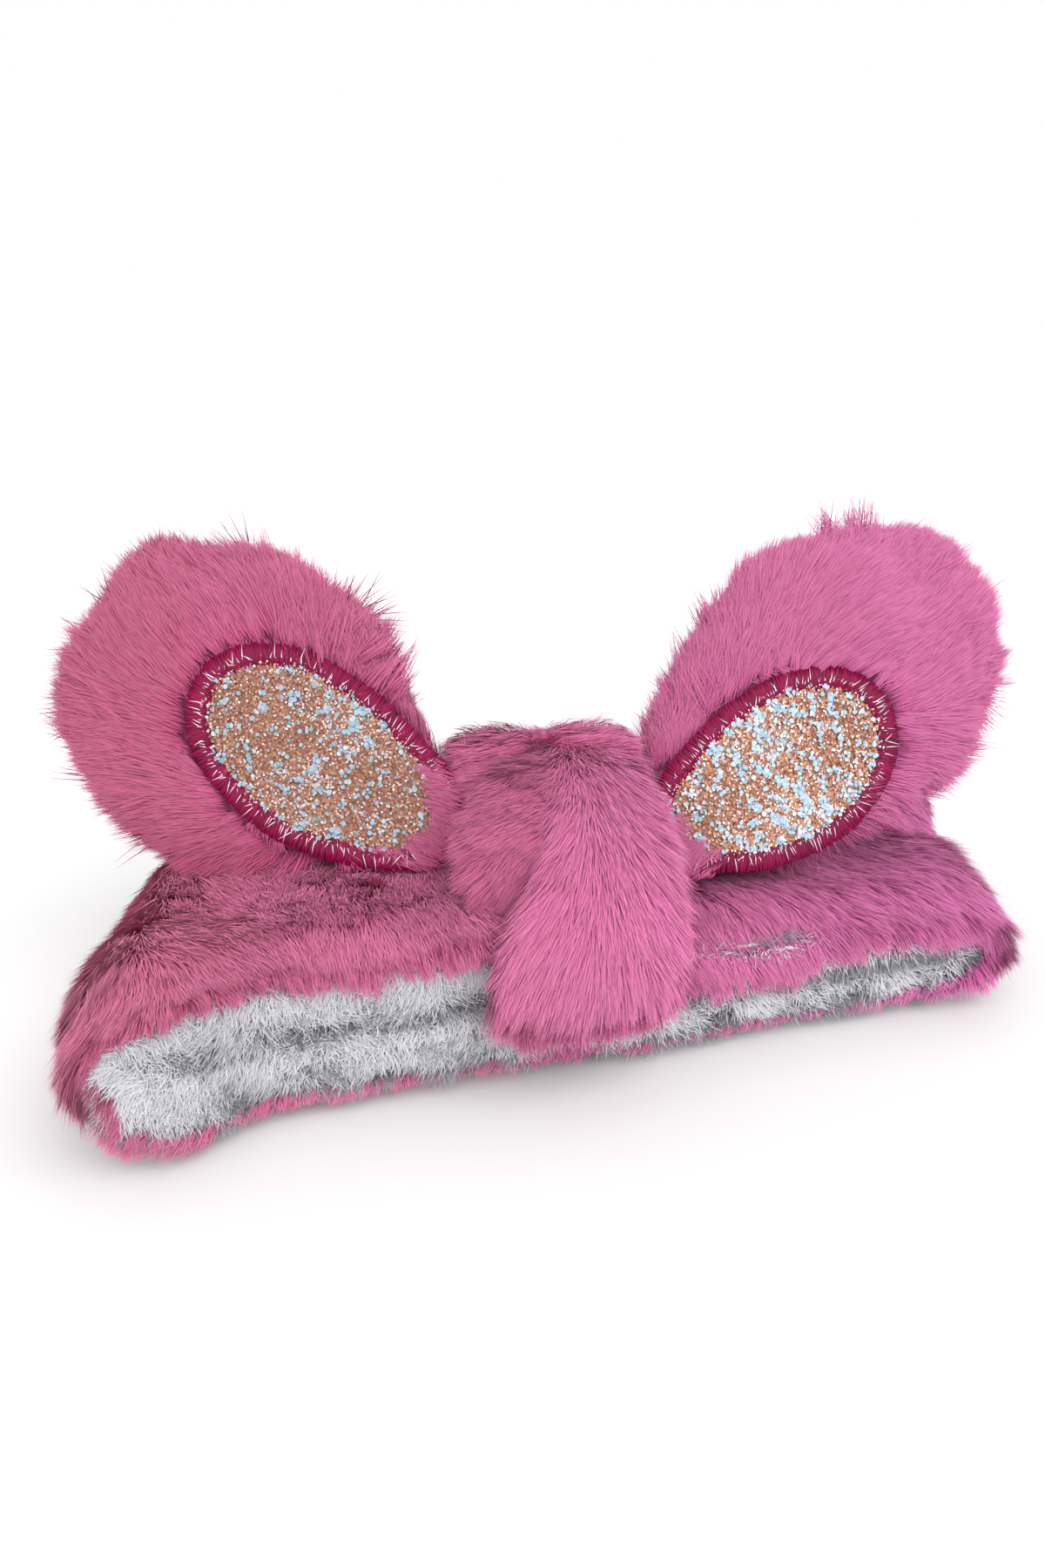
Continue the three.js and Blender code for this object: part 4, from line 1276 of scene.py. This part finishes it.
class HAIRBAND_OT_ears(bpy.types.Operator):
    """The two padded ears: panels, filling and the brushed pile of both faces"""

    bl_idname = "hair_band.ears"
    bl_label = "Ears"

    def execute(self, context):
        pile = settings()[1]
        for number, side in enumerate(("left", "right")):
            ear = Ear(side)
            body = f"{side}_ear"
            for face_sign, face in ((1, "front"), (-1, "back")):
                cloth = ear_cloth(ear, f"{side}_ear_{face}_cloth", FINISH["pink_knit"], face_sign)

                def weight(points, normals):
                    local = ear.local(points)
                    out = local[:, 2] * face_sign > 0.6 * MM
                    angle, reach = ear.polar(local)
                    keep = np.ones(len(points))
                    if face == "front":
                        keep = reach > ear.edge(angle, "border") + 0.4 * MM
                    rim = smooth(1 - np.abs(local[:, 2]) / (5 * MM))
                    facing = normals @ ear.face * face_sign
                    rooted = local[:, 0] > ear.low[0] + 5 * MM
                    return out * keep * (facing > -0.2) * rooted * (0.8 + 0.8 * rim)

                strands = amount(65000 if face == "front" else 50000)
                roots, normals = skin_samples(cloth, strands, weight, 100 + 10 * number + face_sign)
                local = ear.local(roots)
                angle, reach = ear.polar(local)
                gap = reach - ear.edge(angle, "border")
                radial = np.stack([np.cos(angle), np.sin(angle), np.zeros(len(angle))], axis=1)
                swirl = ripple(roots, 38 * MM, 17 + number) * 0.55
                turned = np.stack([radial[:, 0] * np.cos(swirl) - radial[:, 1] * np.sin(swirl),
                                   radial[:, 0] * np.sin(swirl) + radial[:, 1] * np.cos(swirl),
                                   np.zeros(len(angle))], axis=1)
                outer = smooth((local[:, 0] - 15 * MM) / (45 * MM))[:, None]
                way = turned * (0.55 + 0.45 * outer) + (0.55, 0, 0) * (1 - 0.7 * outer)
                if face == "back":
                    way = np.stack([np.ones(len(angle)), 0.5 * np.sin(angle) + 0.4 * swirl,
                                    np.zeros(len(angle))], axis=1)
                lay = way @ np.stack([ear.along, ear.across, ear.face])
                length = pile.long_pile * (1 + 0.12 * ripple(roots, 22 * MM, 19 + number))
                if face == "front":
                    length = length * (0.6 + 0.4 * smooth(gap / (7 * MM)))
                fur = grow(f"{side}_ear_{face}_pile", roots, normals, lay, FINISH["ear_pile"],
                           120 + 10 * number + face_sign, length, pile.strand,
                           root_lift=50 + 5 * ripple(roots, 16 * MM, 25),
                           tip_lift=16 + 8 * ripple(roots, 12 * MM, 26), wander=0.22,
                           tufts=((1.8, 0.5), (6.0, 0.18)))
                furs = [fur]
                if face == "front":
                    furs.append(self.overhang(ear, 140 + number))
                    furs.append(self.fringe(ear, cloth, 160 + number))
                for piece in (cloth, *furs):
                    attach(piece, body)
                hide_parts(f"{side}_ear_{face}_panel")
            filling = self.filling(ear)
            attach(filling, body)
            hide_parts(f"{side}_ear_filling")
        return {"FINISHED"}

    def overhang(self, ear, seed):
        """Pile that falls in over the satin border: where it is combed from the root of the ear
        over the patch, and in a few locks elsewhere."""
        pile = settings()[1]
        rng = np.random.default_rng(seed)
        angle = rng.uniform(-math.pi, math.pi, amount(26000))
        thick = self.locks(ear, angle)
        kept = rng.random(len(angle)) < thick
        angle, thick = angle[kept], thick[kept]
        reach = ear.edge(angle, "border") + rng.uniform(-1.5, 3.5, len(angle)) * MM
        low = ear.patch_top - PATCH_SINK - 1.5 * MM
        places = np.stack([ear.middle[0] + reach * np.cos(angle),
                           ear.middle[1] + reach * np.sin(angle), np.full(len(angle), low)], axis=1)
        inward = np.stack([-np.cos(angle) + 0.5, -np.sin(angle), np.zeros(len(angle))], axis=1)
        lay = inward @ np.stack([ear.along, ear.across, ear.face])
        length = pile.long_pile * (0.35 + 0.45 * thick) * rng.uniform(0.7, 1.15, len(angle))
        return grow(f"{ear.side}_ear_overhang", ear.world(places),
                    np.tile(ear.face, (len(angle), 1)), lay, FINISH["ear_pile"], seed + 1, length,
                    pile.strand * 0.8, root_lift=48, tip_lift=4, wander=0.35,
                    tufts=((2.0, 0.6), (4.0, 0.3)))

    def fringe(self, ear, cloth, seed):
        """Longer locks along the seam, which break up the ear's outline."""
        pile = settings()[1]

        def at_seam(points, normals):
            local = ear.local(points)
            return (np.abs(local[:, 2]) < 5 * MM) * (local[:, 0] > ear.low[0] + 25 * MM)

        roots, normals = skin_samples(cloth, amount(7000), at_seam, seed)
        local = ear.local(roots)
        angle, _ = ear.polar(local)
        swirl = angle + 0.6 * ripple(roots, 20 * MM, seed)
        way = np.stack([np.cos(swirl), np.sin(swirl), np.zeros(len(angle))], axis=1)
        lay = way @ np.stack([ear.along, ear.across, ear.face])
        length = pile.long_pile * (1.12 + 0.3 * ripple(roots, 7 * MM, seed + 1)).clip(0.7, 1.5)
        return grow(f"{ear.side}_ear_fringe", roots, normals, lay, FINISH["ear_pile"], seed + 2,
                    length, pile.strand, root_lift=50, tip_lift=22, wander=0.2,
                    tufts=((3.2, 0.8), (8.0, 0.15)))

    def locks(self, ear, angle):
        """How thickly the pile falls in over the border at each angle round the patch."""
        total = np.zeros(len(angle))
        for middle, half, full in LOCKS[ear.side]:
            off = np.degrees(np.abs(np.angle(np.exp(1j * (angle - math.radians(middle))))))
            total += full * smooth((half - off) / (0.8 * half))
        return total

    def filling(self, ear):
        """Loose filling: the pillow's inside, lumpy."""
        bm = bmesh.new()
        places = ear_skin_point(ear, ear_ball(bm, 36, 26))
        middle = places.mean(axis=0)
        lumps = 0.86 + 0.04 * ripple(places, 14 * MM, 21)
        move_verts(bm, ear.world(middle + (places - middle) * lumps[:, None]))
        return piece_from(bm, f"{ear.side}_ear_loose_filling", FINISH["wadding"])


class HAIRBAND_OT_patches(bpy.types.Operator):
    """The glitter patch of each ear, with its backing, satin border and flakes"""

    bl_idname = "hair_band.patches"
    bl_label = "Glitter patches"

    def execute(self, context):
        colours = settings()[0]
        for number, side in enumerate(("left", "right")):
            ear = Ear(side)
            body = f"{side}_ear"
            top = ear.patch_top - PATCH_SINK
            centres, reach = ear.patch_edge
            ground = disc(ear, f"{side}_patch_cloth", FINISH["glue"],
                          lambda a: ear.edge(a, "patch") * 1.0, top - 0.8 * MM, top, PATCH_CROWN)
            backing = disc(ear, f"{side}_patch_backing", FINISH["backing"],
                           lambda a: ear.edge(a, "patch") + 1.5 * MM, top - 1.9 * MM,
                           top - 1.2 * MM, PATCH_CROWN)
            flakes = glitter(ear, f"{side}_patch_flakes", 14000, 200 + number)
            satin = satin_stitches(ear, f"{side}_satin_stitches", 210 + number, colours.satin)
            strays = stray_fibres(ear, f"{side}_patch_stray_fibres", 220 + 2 * number)
            for piece, slot in ((ground, "glitter"), (flakes, "glitter"), (strays, "glitter"),
                                (backing, "backing"), (satin, "satin_thread")):
                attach(piece, body)
            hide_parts(f"{side}_ear_glitter_patch")
            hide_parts(f"{side}_ear_backing_sheet")
            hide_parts(f"{side}_ear_satin_border")
        return {"FINISHED"}


# ---------------------------------------------------------------- stage


class HAIRBAND_OT_stage(bpy.types.Operator):
    """A plain pale floor, soft studio light and the camera"""

    bl_idname = "hair_band.stage"
    bl_label = "Stage"

    def execute(self, context):
        scene = context.scene
        scene.view_settings.view_transform = "Standard"
        bm = bmesh.new()
        bmesh.ops.create_grid(bm, x_segments=4, y_segments=4, size=60)
        floor_paint, _ = new_material("matt white paper", Roughness=0.95,
                                      Base_Color=linear("#e4e4e4"), Specular_IOR_Level=0.0)
        piece_from(bm, "floor", floor_paint)
        world = bpy.data.worlds.new("studio")
        scene.world = world
        world.use_nodes = True
        world.node_tree.nodes["Background"].inputs["Color"].default_value = (1, 1, 1, 1)
        world.node_tree.nodes["Background"].inputs["Strength"].default_value = 1.0
        target = Vector((-5, 0, 57)) * MM
        for name, way, spread, power in (("key", (0.3, -0.6, 0.75), 50, 1.22),
                                         ("front", (-0.4, -0.8, 0.55), 70, 1.05)):
            lamp = bpy.data.lights.new(name, "SUN")
            lamp.angle = math.radians(spread)
            lamp.energy = power
            holder = bpy.data.objects.new(name, lamp)
            holder.rotation_euler = (-Vector(way)).to_track_quat("-Z", "Y").to_euler()
            scene.collection.objects.link(holder)
        azimuth, elevation, distance = math.radians(-16), math.radians(22), 270 * MM
        back = Vector((math.sin(azimuth) * math.cos(elevation),
                       -math.cos(azimuth) * math.cos(elevation), math.sin(elevation)))
        lens = bpy.data.cameras.new("camera")
        lens.lens = 26
        lens.sensor_width = 36
        lens.clip_start = 0.01
        camera = bpy.data.objects.new("camera", lens)
        camera.location = target + back * distance
        camera.rotation_euler = (-back).to_track_quat("-Z", "Y").to_euler()
        scene.collection.objects.link(camera)
        scene.camera = camera
        return {"FINISHED"}


class HAIRBAND_PT_panel(bpy.types.Panel):
    """Lists the steps and the settings in the sidebar"""

    bl_idname = "HAIRBAND_PT_panel"
    bl_label = "Hair Band"
    bl_space_type = "VIEW_3D"
    bl_region_type = "UI"
    bl_category = "Hair Band"

    def draw(self, context):
        for step in STEPS:
            self.layout.operator(step.bl_idname)
        for group in (context.scene.hair_band_colours, context.scene.hair_band_pile):
            for name in group.__annotations__:
                self.layout.prop(group, name)


STEPS = (HAIRBAND_OT_band_plush, HAIRBAND_OT_lining, HAIRBAND_OT_inner_layers, HAIRBAND_OT_wrap,
         HAIRBAND_OT_ears, HAIRBAND_OT_patches, HAIRBAND_OT_stage)
CLASSES = (HairBandColours, HairBandPile, *STEPS, HAIRBAND_PT_panel)


def register():
    for each in CLASSES:
        bpy.utils.register_class(each)
    bpy.types.Scene.hair_band_colours = bpy.props.PointerProperty(type=HairBandColours)
    bpy.types.Scene.hair_band_pile = bpy.props.PointerProperty(type=HairBandPile)


def unregister():
    del bpy.types.Scene.hair_band_pile
    del bpy.types.Scene.hair_band_colours
    for each in reversed(CLASSES):
        bpy.utils.unregister_class(each)


def main():
    register()
    FINISH.update(make_materials(settings()[0]))
    bpy.ops.hair_band.band_plush()
    bpy.ops.hair_band.lining()
    bpy.ops.hair_band.inner_layers()
    bpy.ops.hair_band.wrap()
    bpy.ops.hair_band.ears()
    bpy.ops.hair_band.patches()
    bpy.ops.hair_band.stage()


if __name__ == "__main__":
    main()
